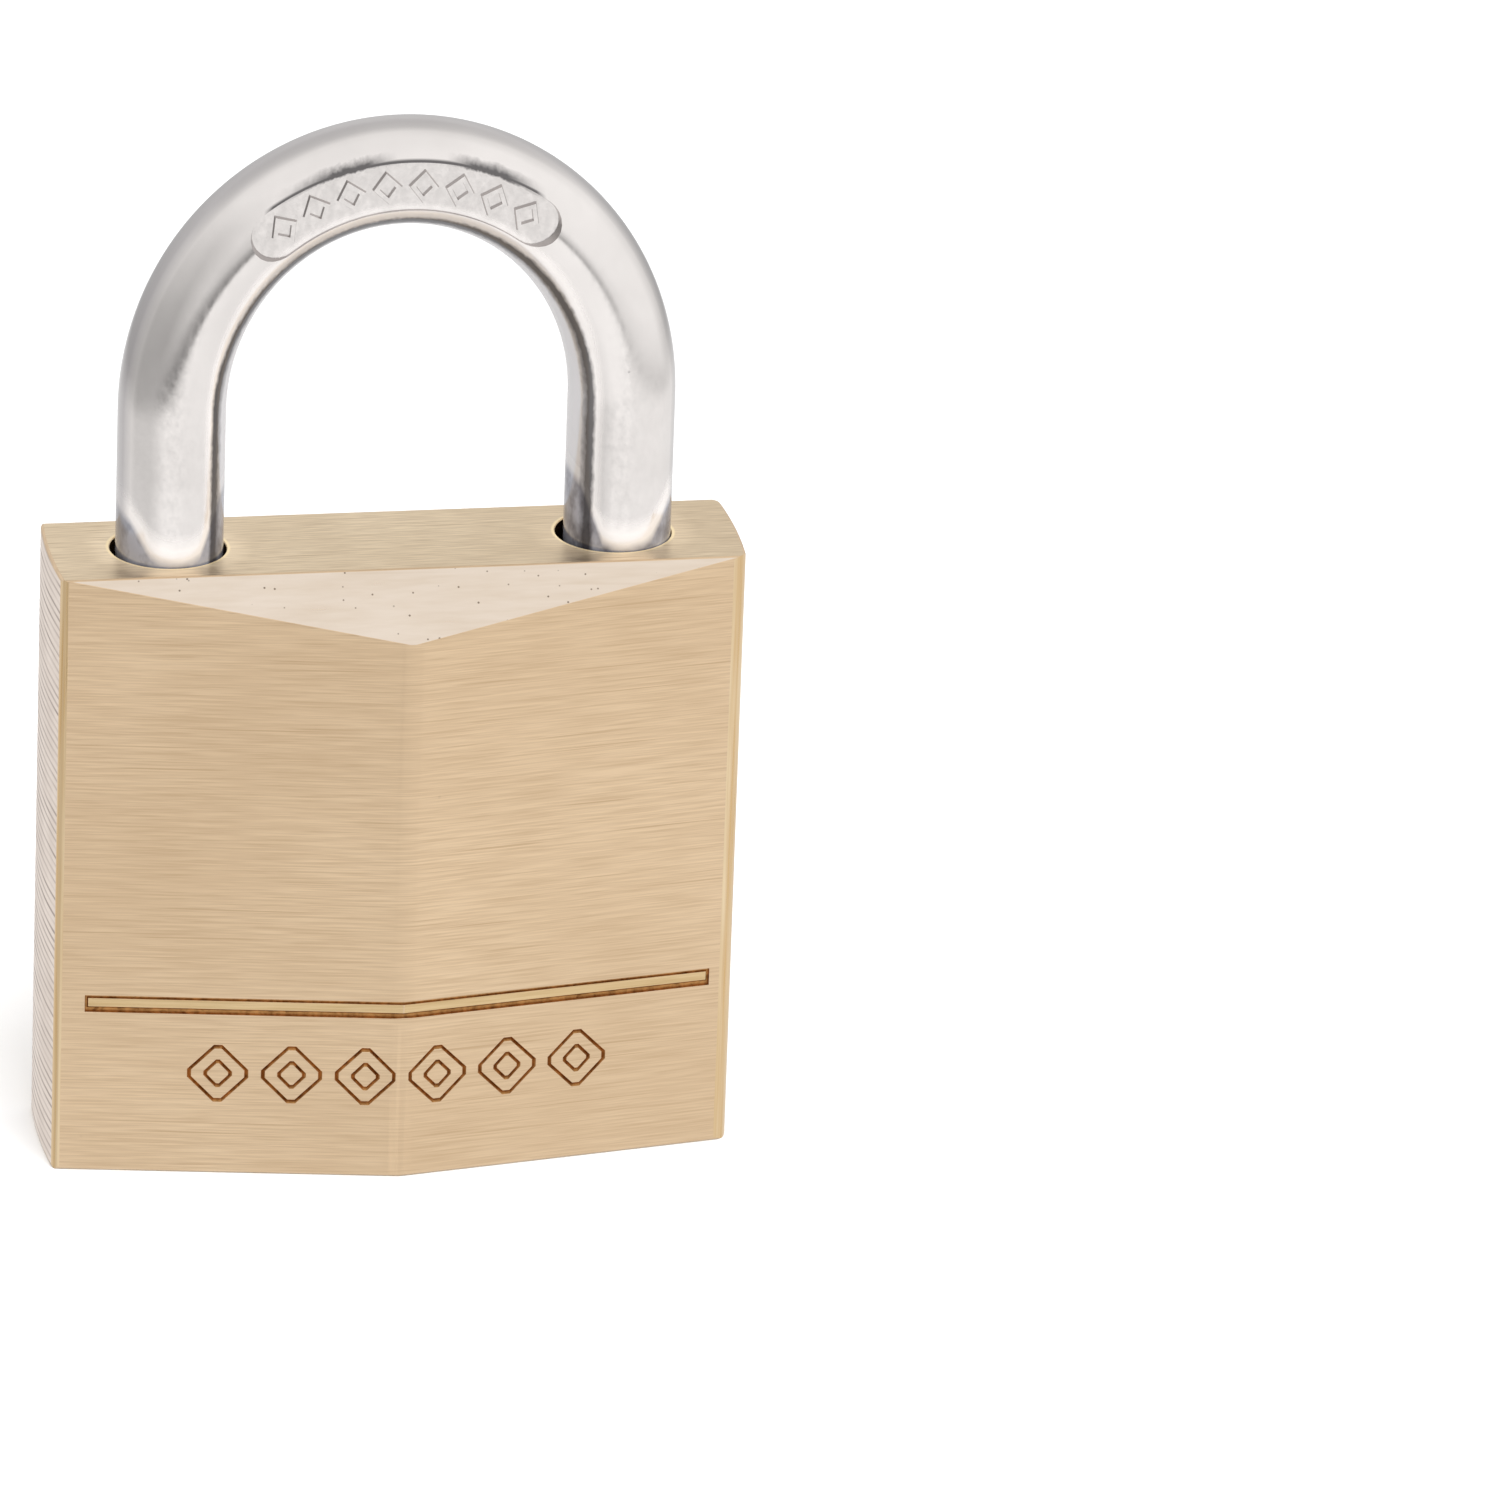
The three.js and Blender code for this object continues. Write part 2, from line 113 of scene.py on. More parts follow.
def studio_room():
    room = bpy.data.worlds.new("studio_room")
    room.use_nodes = True
    tree = room.node_tree
    direction = tree.nodes.new("ShaderNodeSeparateXYZ")
    link(tree, tree.nodes.new("ShaderNodeTexCoord").outputs["Generated"], direction.inputs[0])
    height = span(tree, direction.outputs["Z"], -1, 1)
    left = wall(
        tree, height,
        [(0, 0.8), (0.3, 0.86), (0.36, 0.48), (0.45, 0.44), (0.55, 0.5), (0.7, 0.7), (0.85, 0.95), (1, 0.95)],
    )
    front = wall(
        tree, height,
        [
            (0, 0.97), (0.33, 1.07), (0.352, 0.24), (0.372, 0.3),
            (0.45, 0.7), (0.6, 0.9), (0.75, 1.02), (1, 0.95),
        ],
    )
    right = wall(
        tree, height,
        [
            (0, 0.9), (0.33, 1.0), (0.352, 0.66), (0.385, 0.86),
            (0.46, 0.98), (0.7, 1.02), (0.9, 1.02), (1, 0.95),
        ],
    )
    back = wall(
        tree, height,
        [(0, 0.8), (0.34, 0.94), (0.4, 0.6), (0.6, 0.82), (0.69, 0.9), (0.8, 0.8), (0.93, 0.74), (1, 0.85)],
    )
    left_to_front = mixed(tree, span(tree, direction.outputs["X"], -0.75, -0.35), left, front)
    sides = mixed(tree, span(tree, direction.outputs["X"], 0.12, 0.42), left_to_front, right)
    walls = mixed(tree, span(tree, direction.outputs["Y"], 0, 0.5), sides, back)
    # The camera itself looks at plain white paper.
    seen = tree.nodes.new("ShaderNodeLightPath").outputs["Is Camera Ray"]
    link(tree, mixed(tree, seen, walls, (1, 1, 1, 1)), tree.nodes["Background"].inputs["Color"])
    return room


scene.world = studio_room()


def softbox(name, place, size, power):
    """A soft light that faces the middle of the padlock."""
    lamp = bpy.data.lights.new(name, "AREA")
    lamp.shape = "RECTANGLE"
    lamp.size, lamp.size_y = size
    lamp.energy = power
    holder = bpy.data.objects.new(name, lamp)
    holder.location = place
    padlock_middle = Vector((0, 0, 0.03))
    holder.rotation_euler = (padlock_middle - Vector(place)).to_track_quat("-Z", "Y").to_euler()
    holder.visible_glossy = False
    scene.collection.objects.link(holder)


softbox("overhead_softbox", place=(0.05, -0.35, 0.75), size=(0.5, 0.4), power=6)

# The camera circles a point low on the padlock, and looks a little to the right of it and above.
view_turn, view_height, view_roll = (math.radians(angle) for angle in (-9.84, 22.78, 1.52))
camera_distance, circled_height = 0.779, 0.018
aim_right, aim_up = 0.02109, 0.00513
toward_camera = Vector((
    math.sin(view_turn) * math.cos(view_height),
    -math.cos(view_turn) * math.cos(view_height),
    math.sin(view_height),
))
level_right = Vector((math.cos(view_turn), math.sin(view_turn), 0))
level_up = toward_camera.cross(level_right)
right = level_right * math.cos(view_roll) + level_up * math.sin(view_roll)
up = level_up * math.cos(view_roll) - level_right * math.sin(view_roll)
centre = Vector((0, 0, circled_height))
camera_place = centre + toward_camera * camera_distance
aim_point = centre + right * aim_right + up * aim_up
look_back = (camera_place - aim_point).normalized()
camera_right = up.cross(look_back).normalized()
camera_up = look_back.cross(camera_right)
camera_data = bpy.data.cameras.new("camera")
camera_data.sensor_width = 36
camera_data.lens = 323
camera = bpy.data.objects.new("camera", camera_data)
rotation = Matrix((camera_right, camera_up, look_back)).transposed().to_4x4()
camera.matrix_world = Matrix.Translation(camera_place) @ rotation
scene.collection.objects.link(camera)
scene.camera = camera

# ---- Lock body ----
# A block of drawn brass, a flat hexagon in plan, sawn on its narrow sides and milled to a bevel at the top
# of each crest. Belts have grained its faces along their width, and a line and a row of lozenges are
# engraved low on its front. Every mesh is drawn in millimetres, then scaled.

MM = 0.001
body_width, body_height, side_thickness, crest = 40, 36.6, 9, 3.25
side_bulge = 0.2
crest_bevel_drop = 3.5
# How far each kind of edge is rounded.
left_edge, right_edge, crest_edge = 0.55, 1.1, 5
base_front_edge, base_side_edge, top_side_edge, top_bevel_edge, bevel_edge = 0.28, 0.25, 0.2, 0.25, 0.2
leg_x = 13
heel_hole_x, toe_hole_x, hole_y, hole_radius = -13.05, 12.8, 0.13, 3.35
heel_hole_floor, toe_hole_floor, hole_chamfer = 2, 24.5, 0.05
bore_radius, bore_chamfer = 5.56, 0.12
bolt_height = 30
crest_y = side_thickness / 2 + crest
facet_slope = crest / (body_width / 2 - side_bulge)


def mesh_object(name, bm):
    """Turns a bmesh drawn in millimetres into a mesh object, still in millimetres."""
    bmesh.ops.recalc_face_normals(bm, faces=bm.faces)
    data = bpy.data.meshes.new(name)
    bm.to_mesh(data)
    bm.free()
    made = bpy.data.objects.new(name, data)
    scene.collection.objects.link(made)
    return made


def keep_modified(piece):
    """Makes what the modifiers do to a piece its own mesh."""
    bpy.context.view_layer.update()
    graph = bpy.context.evaluated_depsgraph_get()
    done = bpy.data.meshes.new_from_object(piece.evaluated_get(graph), depsgraph=graph)
    old = piece.data
    piece.modifiers.clear()
    piece.data = done
    bpy.data.meshes.remove(old)


def cut_away(piece, *tools, how="DIFFERENCE"):
    """Cuts each tool's shape out of a piece, or joins it to the piece, and clears the tool away."""
    for tool in tools:
        step = piece.modifiers.new("cut", "BOOLEAN")
        step.operation = how
        step.solver = "EXACT"
        step.object = tool
        keep_modified(piece)
        bpy.data.objects.remove(tool)
    return piece


def turned(name, profile, sides, place=(0, 0, 0), along="Z", finish_index=0):
    """A lathe-turned solid. The profile is (radius, height) pairs that start and end at radius 0."""
    bm = bmesh.new()
    rings = []
    for radius, height in profile:
        if radius < 1e-6:
            rings.append([bm.verts.new((0, 0, height))])
        else:
            angles = [2 * math.pi * i / sides for i in range(sides)]
            rings.append([bm.verts.new((radius * math.cos(a), radius * math.sin(a), height)) for a in angles])
    for low, high in zip(rings, rings[1:]):
        for i in range(sides):
            j = i + 1
            corners = [low[i % len(low)], low[j % len(low)], high[j % len(high)], high[i % len(high)]]
            bm.faces.new(list(dict.fromkeys(corners))).material_index = finish_index
    if along == "X":
        bmesh.ops.rotate(bm, verts=bm.verts, matrix=Matrix.Rotation(math.pi / 2, 3, "Y"))
    if along == "Y":
        bmesh.ops.rotate(bm, verts=bm.verts, matrix=Matrix.Rotation(-math.pi / 2, 3, "X"))
    bmesh.ops.translate(bm, verts=bm.verts, vec=place)
    return mesh_object(name, bm)


def slab(name, low, high, finish_index=0):
    """A rectangular block between its lowest and highest corners."""
    bm = bmesh.new()
    bmesh.ops.create_cube(bm, size=1)
    size = Vector(high) - Vector(low)
    bmesh.ops.scale(bm, verts=bm.verts, vec=size)
    bmesh.ops.translate(bm, verts=bm.verts, vec=Vector(low) + size / 2)
    for face in bm.faces:
        face.material_index = finish_index
    return mesh_object(name, bm)


def body_blank():
    """The bare bar: a convex block, made by cutting away what lies outside each of its faces."""
    half = body_width / 2
    front_normals = [Vector((s * facet_slope, f, 0)).normalized() for s in (-1, 1) for f in (-1, 1)]
    faces = [(normal, Vector((0, math.copysign(crest_y, normal.y), 0))) for normal in front_normals]
    bevel_normal = Vector((0, crest_bevel_drop, crest)).normalized()
    for f in (-1, 1):
        normal = Vector((0, f * bevel_normal.y, bevel_normal.z))
        faces.append((normal, Vector((0, f * side_thickness / 2, body_height))))
    faces.append((Vector((0, 0, 1)), Vector((0, 0, body_height))))
    faces.append((Vector((0, 0, -1)), Vector((0, 0, 0))))
    side_angle = 4 * side_bulge / side_thickness
    side_steps = 6
    for s in (-1, 1):
        for i in range(-side_steps, side_steps + 1):
            part = i / side_steps
            lean = side_angle * part
            touch = Vector((s * (half - side_bulge * part ** 2), side_thickness / 2 * part, 0))
            faces.append((Vector((s * math.cos(lean), math.sin(lean), 0)), touch))
    # Rounded edges: between two neighbouring faces, planes that touch a cylinder inside both.
    fronts = faces[0:4]
    bevels = faces[4:6]
    top, base = faces[6], faces[7]
    sides = faces[8:]
    left_sides, right_sides = sides[: 2 * side_steps + 1], sides[2 * side_steps + 1 :]
    corner_pairs = []
    for facet in fronts:
        flank = (left_sides if facet[0].x < 0 else right_sides)[-1 if facet[0].y > 0 else 0]
        corner_pairs.append((facet, flank, left_edge if facet[0].x < 0 else right_edge))
    corner_pairs += [(fronts[0], fronts[2], crest_edge), (fronts[1], fronts[3], crest_edge)]
    corner_pairs += [(facet, base, base_front_edge) for facet in fronts]
    corner_pairs += [(side, base, base_side_edge) for side in sides]
    corner_pairs += [(side, top, top_side_edge) for side in sides]
    corner_pairs += [(bevel, top, top_bevel_edge) for bevel in bevels]
    for bevel in bevels:
        corner_pairs += [(bevel, facet, bevel_edge) for facet in fronts if bevel[0].y * facet[0].y > 0]
    cuts = list(faces)
    for (n1, p1), (n2, p2), radius in corner_pairs:
        # A point on both faces, then the axis of the rounding inside them.
        dot = n1.dot(n2)
        d1, d2 = n1.dot(p1), n2.dot(p2)
        across = 1 - dot * dot
        edge = n1 * ((d1 - d2 * dot) / across) + n2 * ((d2 - d1 * dot) / across)
        axis = edge - (n1 + n2) * (radius / (1 + dot))
        steps = 8 if radius > base_front_edge else 4
        for i in range(1, steps):
            normal = n1.lerp(n2, i / steps).normalized()
            cuts.append((normal, axis + normal * radius))
    stock_size = 100
    bm = bmesh.new()
    bmesh.ops.create_cube(bm, size=stock_size)
    for normal, place in cuts:
        geometry = bm.verts[:] + bm.edges[:] + bm.faces[:]
        result = bmesh.ops.bisect_plane(
            bm, geom=geometry, dist=1e-5, plane_co=place, plane_no=normal, clear_outer=True
        )
        rim = [cut for cut in result["geom_cut"] if isinstance(cut, bmesh.types.BMEdge)]
        if len(rim) > 2:
            bmesh.ops.contextual_create(bm, geom=rim)
    return bm


# The order of the body's finishes in its list.
FACE, TOP, BEVEL, SAWN, EDGE, PAINTED_DARK_CUT, ENGRAVED, LINE = range(8)


def finish_of(normal):
    """Which finish a face of the block has, told from its normal."""
    if abs(normal.z) < 0.05 and abs(normal.y) > 0.98:
        return FACE
    if abs(normal.z) > 0.999:
        return TOP
    if 0.6 < normal.z < 0.74 and abs(normal.y) > 0.68:
        return BEVEL
    if abs(normal.x) > 0.99 and abs(normal.z) < 0.05:
        return SAWN
    return EDGE if abs(normal.z) < 0.05 else FACE


blank = body_blank()
bmesh.ops.recalc_face_normals(blank, faces=blank.faces)
for face in blank.faces:
    face.material_index = finish_of(face.normal)
lock_body = mesh_object("brass_body", blank)


def bored(depth_from, depth_to, radius, flare, x=0, y=0, sides=96):
    """A drill's cut down from the top, or up from the base, with its mouth eased by a chamfer."""
    step = math.copysign(flare, depth_to - depth_from)
    profile = [
        (0, depth_from), (radius, depth_from), (radius, depth_to - step),
        (radius + 2 * flare, depth_to + step), (0, depth_to + step),
    ]
    drill = turned("drill", profile, sides, (x, y, 0), finish_index=PAINTED_DARK_CUT)
    for face in drill.data.polygons:
        if 0.3 < abs(face.normal.z) < 0.95:
            face.material_index = EDGE
    return drill


bolt_half_height = 2.4
tunnel_half_length, tunnel_half_width, tunnel_half_height = 11.3, 3.3, bolt_half_height + 0.2
cut_away(
    lock_body,
    bored(toe_hole_floor, body_height, hole_radius, hole_chamfer, toe_hole_x, hole_y),
    bored(heel_hole_floor, body_height, hole_radius, hole_chamfer, heel_hole_x, hole_y),
    bored(bolt_height - bolt_half_height, 0, bore_radius, bore_chamfer, sides=128),
    slab(
        "tunnel_cutter",
        (-tunnel_half_length, -tunnel_half_width, bolt_height - tunnel_half_height),
        (tunnel_half_length, tunnel_half_width, bolt_height + tunnel_half_height),
        PAINTED_DARK_CUT,
    ),
)
pin_heights = [4.6, 8.4, 12.2, 16]
retainer_height = 20.6
pin_hole_radius = 1.55
chamber_drill = [(0, 4.5), (pin_hole_radius, 4.5), (pin_hole_radius, 21), (0, 21)]
for height in pin_heights + [retainer_height]:
    cut_away(lock_body, turned("chamber_drill", chamber_drill, 48, (0, 0, height), "X", PAINTED_DARK_CUT))
retainer_place = (-leg_x, 0, 23.5)
retainer_drill = [(0, 2), (1, 2), (1, 9), (0, 9)]
cut_away(lock_body, turned("retainer_drill", retainer_drill, 48, retainer_place, "Y", PAINTED_DARK_CUT))


def face_point(across, height, depth):
    """A point on the front of the body, or that far inside it."""
    return (across, -crest_y + abs(across) * facet_slope + depth, height)


def engraved(bm, loops, sunk=False):
    """A cutter along an outline. Loops are (outline, depth) pairs across a groove, or down to a floor."""
    rings = [[bm.verts.new(face_point(u, z, depth)) for u, z in outline] for outline, depth in loops]
    count = len(rings[0])
    for ring, following in zip(rings, rings[1:] if sunk else rings[1:] + rings[:1]):
        for i in range(count):
            j = (i + 1) % count
            bm.faces.new((ring[i], ring[j], following[j], following[i])).material_index = ENGRAVED
    if sunk:
        for a, b, c, d, e, f in (rings[0], rings[-1]):
            for corners in ((a, b, e, f), (b, c, d, e)):
                bm.faces.new(corners).material_index = LINE


line_low, line_high, line_start, line_end = 10.0, 11.0, -18.1, 18.4


def line_outline(inset, foot=1.0):
    """The line's outline, with a point on the crest in each long edge. A foot insets the lower edge more."""
    low, high = line_low + inset * foot, line_high - inset
    start, end = line_start + inset, line_end - inset
    return [(start, low), (0, low), (end, low), (end, high), (0, high), (start, high)]


def lozenge(across, height, half_width, half_height, offset):
    """A lozenge with blunt points, grown by an offset, as a list of (across, height)."""
    grow = 1 + offset * math.hypot(half_width, half_height) / (half_width * half_height)
    a, b = half_width * grow, half_height * grow
    blunt = 0.12
    corners = [(a, 0), (0, b), (-a, 0), (0, -b)]
    points = []
    for i, (x, z) in enumerate(corners):
        for x2, z2 in (corners[i - 1], corners[(i + 1) % 4]):
            points.append((across + x + (x2 - x) * blunt, height + z + (z2 - z) * blunt))
    return points


engraving = bmesh.new()
clear_of_face = -0.1
line_depth, line_shoulder = 0.17, 0.06
engraved(
    engraving,
    [
        (line_outline(-0.05), clear_of_face), (line_outline(0.03), line_depth),
        (line_outline(0.12, 1.7), line_depth), (line_outline(0.18, 1.7), line_shoulder),
    ],
    sunk=True,
)
groove_reach, groove_depth = 0.17, 0.13
ornament_count, ornament_pitch, ornament_height = 6, 4.2, 6.3
for i in range(ornament_count):
    across = (i - (ornament_count - 1) / 2) * ornament_pitch
    for half_width, half_height in ((1.85, 1.9), (0.8, 0.85)):
        outer, middle, inner = (
            lozenge(across, ornament_height, half_width, half_height, offset)
            for offset in (groove_reach, 0, -groove_reach)
        )
        engraved(engraving, [(outer, clear_of_face), (middle, groove_depth), (inner, clear_of_face)])
cut_away(lock_body, mesh_object("engraving_tool", engraving))


def setup(material_name):
    """A fresh metal: its node tree, its shader and the place on the piece, in metres."""
    finish = bpy.data.materials.new(material_name)
    finish.use_nodes = True
    tree = finish.node_tree
    shader = tree.nodes["Principled BSDF"]
    shader.inputs["Metallic"].default_value = 1
    place = tree.nodes.new("ShaderNodeTexCoord").outputs["Object"]
    return finish, tree, shader, place


def noise(tree, place, cells_per_metre, detail):
    """Grain, stretched where the cells per metre are few."""
    grain = tree.nodes.new("ShaderNodeTexNoise")
    grain.inputs["Scale"].default_value = 1
    grain.inputs["Detail"].default_value = detail
    grain.inputs["Roughness"].default_value = 0.6
    spread = tree.nodes.new("ShaderNodeVectorMath")
    spread.operation = "MULTIPLY"
    spread.inputs[1].default_value = cells_per_metre
    link(tree, place, spread.inputs[0])
    link(tree, spread.outputs["Vector"], grain.inputs["Vector"])
    return grain.outputs["Fac"]


def calc(tree, operation, *values):
    """One sum or comparison of numbers and of other nodes' outputs."""
    node = tree.nodes.new("ShaderNodeMath")
    node.operation = operation
    for socket, value in zip(node.inputs, values):
        if isinstance(value, bpy.types.NodeSocket):
            link(tree, value, socket)
        else:
            socket.default_value = value
    return node.outputs[0]


def raised(tree, amount, shader, height):
    """Turns a grain into relief that is so many metres high."""
    bump = tree.nodes.new("ShaderNodeBump")
    bump.inputs["Strength"].default_value = 1
    bump.inputs["Distance"].default_value = height
    link(tree, amount, bump.inputs["Height"])
    link(tree, bump.outputs["Normal"], shader.inputs["Normal"])


def pits(tree, place, cells_per_metre, share, reach=0.09):
    """1 in small scattered pits and 0 elsewhere. A pit's reach is a part of its cell."""
    cells = tree.nodes.new("ShaderNodeTexVoronoi")
    cells.inputs["Scale"].default_value = cells_per_metre
    link(tree, place, cells.inputs["Vector"])
    near = span(tree, cells.outputs["Distance"], reach * 0.55, reach, 1, 0)
    chosen = tree.nodes.new("ShaderNodeSeparateColor")
    link(tree, cells.outputs["Color"], chosen.inputs[0])
    rare = span(tree, chosen.outputs[0], 1 - share, 1 - share + 0.01)
    return calc(tree, "MULTIPLY", near, rare)


def grained_brass(
    name, light, dark, cells, roughness, relief, contrast, pit_share=0.02, pit_cells=550, pit_reach=0.09
):
    """Brass with a directional grain. Cells are the fine grain's cells per metre along X, Y and Z."""
    finish, tree, shader, place = setup(name)
    fine = noise(tree, place, cells, 2)
    # Scratches run the way the grain runs, longer than it and a little further apart.
    scratches = noise(tree, place, tuple(c * (0.7 if c == max(cells) else 0.3) for c in cells), 1)
    cloud = noise(tree, place, (70, 70, 70), 2)
    tone = mixed(tree, span(tree, fine, 0.3, 0.66, contrast, 0), light, dark)
    tone = mixed(tree, span(tree, cloud, 0.35, 0.65, 0.0, 0.25), tone, dark)
    tone = mixed(tree, span(tree, scratches, 0.27, 0.34, contrast, 0), tone, dark)
    specks = span(tree, pits(tree, place, pit_cells, pit_share, pit_reach), 0, 1, 0, 0.8)
    link(tree, mixed(tree, specks, tone, shade(96, 74, 50)), shader.inputs["Base Color"])
    link(tree, span(tree, fine, 0.25, 0.75, roughness - 0.07, roughness + 0.09), shader.inputs["Roughness"])
    raised(tree, fine, shader, relief)
    return finish


def sawn_brass():
    """Pale brass with the dark, nearly level marks that a saw left as it ran from front to back."""
    finish, tree, shader, place = setup("sawn_brass")
    mark_spacing, mark_lean, mark_depth = 0.00052, 0.03, 6e-6
    lean = tree.nodes.new("ShaderNodeMapping")
    lean.inputs["Rotation"].default_value = (mark_lean, 0, 0)
    link(tree, place, lean.inputs["Vector"])
    marks = tree.nodes.new("ShaderNodeTexWave")
    marks.bands_direction = "Z"
    marks.inputs["Scale"].default_value = math.pi / 10 / mark_spacing
    marks.inputs["Distortion"].default_value = 1.6
    marks.inputs["Detail"].default_value = 2
    marks.inputs["Detail Scale"].default_value = 0.25
    link(tree, lean.outputs["Vector"], marks.inputs["Vector"])
    patches = noise(tree, place, (400, 260, 260), 2)
    strokes = span(tree, noise(tree, place, (600, 90, 2600), 2), 0.35, 0.62, 0.15, 0.95)
    depth = calc(tree, "MULTIPLY", span(tree, marks.outputs["Fac"], 0.0, 0.5, 1, 0), strokes)
    tone = mixed(tree, depth, shade(250, 236, 224), shade(138, 116, 104))
    tone = mixed(tree, span(tree, patches, 0.35, 0.65, 0.3, 0), tone, shade(204, 186, 172))
    link(tree, tone, shader.inputs["Base Color"])
    shader.inputs["Roughness"].default_value = 0.4
    raised(tree, depth, shader, -mark_depth)
    return finish


def shade(red, green, blue):
    """A colour as a colour chart gives it, from 0 to 255, made linear."""
    parts = [level / 255 for level in (red, green, blue)]
    return tuple(part / 12.92 if part <= 0.04 else ((part + 0.055) / 1.055) ** 2.4 for part in parts) + (1,)


def dull_holes_and_paint_rim_highlight(finish):
    """Dulls the top face round the two leg holes, and paints a bright highlight in a rim round each."""
    tree = finish.node_tree
    shader = tree.nodes["Principled BSDF"]
    place = tree.nodes.new("ShaderNodeTexCoord").outputs["Object"]
    gaps = []
    for hole_x in (heel_hole_x, toe_hole_x):
        gap = tree.nodes.new("ShaderNodeVectorMath")
        gap.operation = "DISTANCE"
        gap.inputs[1].default_value = (hole_x * MM, hole_y * MM, body_height * MM)
        link(tree, place, gap.inputs[0])
        gaps.append(gap.outputs["Value"])
    near = calc(tree, "MINIMUM", *gaps)
    # A bright rim round each hole is painted highlight in the base colour.
    rim = span(tree, near, (hole_radius + 0.15) * MM, (hole_radius + 0.26) * MM, 1, 0)
    rubbed = span(tree, near, (hole_radius + 0.2) * MM, (hole_radius + 1.6) * MM, 0.68, 1)
    link(tree, rubbed, shader.inputs["Metallic"])
    tone = shader.inputs["Base Color"].links[0].from_socket
    link(tree, mixed(tree, rim, tone, shade(255, 232, 186)), shader.inputs["Base Color"])
    return finish


body_finishes = [
    grained_brass(
        "satin_brass", shade(242, 215, 180), shade(205, 174, 137), (210, 800, 9500), 0.38, 3.2e-6, 0.62
    ),
    dull_holes_and_paint_rim_highlight(
        grained_brass(
            "satin_brass_top", shade(250, 230, 198), shade(190, 164, 128), (380, 8000, 900), 0.36, 6e-6, 0.7
        )
    ),
    grained_brass(
        "milled_brass", shade(242, 228, 213), shade(216, 196, 172), (260, 1500, 2600), 0.34, 3e-6, 0.4,
        pit_share=0.6, pit_cells=1700, pit_reach=0.13,
    ),
    sawn_brass(),
    grained_brass(
        "rubbed_brass_edge", shade(246, 224, 188), shade(206, 166, 108), (2600, 2600, 60), 0.3, 3e-6, 0.8
    ),
    # Bored walls are painted dark brown: painted shade inside the deep holes.
    grained_brass(
        "bored_brass_painted_shade", shade(120, 92, 54), shade(60, 44, 24), (700, 700, 5000), 0.45, 1e-5, 0.8
    ),
    grained_brass(
        "engraved_brass", shade(214, 162, 102), shade(136, 90, 48), (2500, 2500, 2500), 0.45, 1e-5, 0.8
    ),
    grained_brass(
        "engraved_line_floor", shade(238, 210, 164), shade(206, 174, 124), (140, 900, 6000), 0.35, 1e-5, 0.7
    ),
]
for finish in body_finishes:
    lock_body.data.materials.append(finish)


def settle(piece, body, node):
    """Scales a finished piece to metres, hangs it on its body and lets it stand for its node."""
    piece.data.transform(Matrix.Scale(MM, 4))
    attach(piece, body)
    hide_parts(node)


sharp_angle = math.radians(28)
lock_body.data.shade_smooth()
for polygon in lock_body.data.polygons:
    if abs(polygon.normal.z) > 0.999:
        polygon.use_smooth = False
lock_body.data.set_sharp_from_angle(angle=sharp_angle)
lock_body.modifiers.new("flat_faces_stay_flat", "WEIGHTED_NORMAL").keep_sharp = True
keep_modified(lock_body)
settle(lock_body, "case", "lock_body")

# ---- Chamber caps ----
# Five brass slugs close the holes that were drilled from the toe side for the pins and the
# plug's retainer. They are pressed in, filed flush and grained together with the side.

cap_inner, cap_face = 16.4, 19.9
cap_profile = [
    (0, cap_inner), (1.4, cap_inner), (1.52, cap_inner + 0.12),
    (1.52, cap_face - 0.12), (1.44, cap_face - 0.02), (0, cap_face),
]
for number, height in enumerate(pin_heights + [retainer_height], 1):
    cap = turned(f"brass_chamber_cap_{number}", cap_profile, 64, (0, 0, height), "X")
    cap.data.materials.append(body_finishes[SAWN])
    settle(cap, "case", f"chamber_cap_{number}")

# ---- Shackle ----
# A hardened steel bar bent to a U on a slightly tall former, then polished and nickel plated.
# The heel is turned down to a neck that keeps it in the body, each leg has a notch for its
# bolt, and a die has pressed a flat panel with raised lozenges into the front of the crown.

bar_radius = 3.1
bend_rise = 14
bend_base = body_height + 22.6 - bend_rise
heel_end, collar_top, neck_top, neck_radius = 7.4, 9.9, 24.7, 2
toe_end, toe_round = 25, 1.2


def bar_stations():
    """Stations down the middle of the bar from heel to toe: place, outward direction and radius."""
    stations = []
    heel = [
        (heel_end, 2.5), (heel_end + 0.15, 2.8), (heel_end + 0.5, bar_radius),
        (collar_top - 0.25, bar_radius), (collar_top, bar_radius - 0.25),
        (collar_top + 0.02, neck_radius + 0.2), (collar_top + 0.2, neck_radius),
        (neck_top - 0.2, neck_radius), (neck_top - 0.02, neck_radius + 0.2),
        (neck_top, bar_radius - 0.2), (neck_top + 0.2, bar_radius),
    ]
    for height, radius in heel:
        stations.append((Vector((-leg_x, 0, height)), Vector((-1, 0, 0)), radius))
    leg_steps = 20
    for i in range(1, leg_steps):
        height = neck_top + 0.2 + (bend_base - neck_top - 0.2) * i / leg_steps
        stations.append((Vector((-leg_x, 0, height)), Vector((-1, 0, 0)), bar_radius))
    bend_steps = 120
    for i in range(bend_steps + 1):
        angle = math.pi * (1 - i / bend_steps)
        place = Vector((leg_x * math.cos(angle), 0, bend_base + bend_rise * math.sin(angle)))
        outward = Vector((bend_rise * math.cos(angle), 0, leg_x * math.sin(angle))).normalized()
        stations.append((place, outward, bar_radius))
    for i in range(1, leg_steps):
        height = bend_base + (toe_end + toe_round - bend_base) * i / leg_steps
        stations.append((Vector((leg_x, 0, height)), Vector((1, 0, 0)), bar_radius))
    round_steps = 8
    for i in range(round_steps + 1):
        angle = math.pi / 2 * i / round_steps
        height = toe_end + toe_round * (1 - math.sin(angle))
        radius = bar_radius - toe_round * (1 - math.cos(angle))
        stations.append((Vector((leg_x, 0, height)), Vector((1, 0, 0)), radius))
    return stations


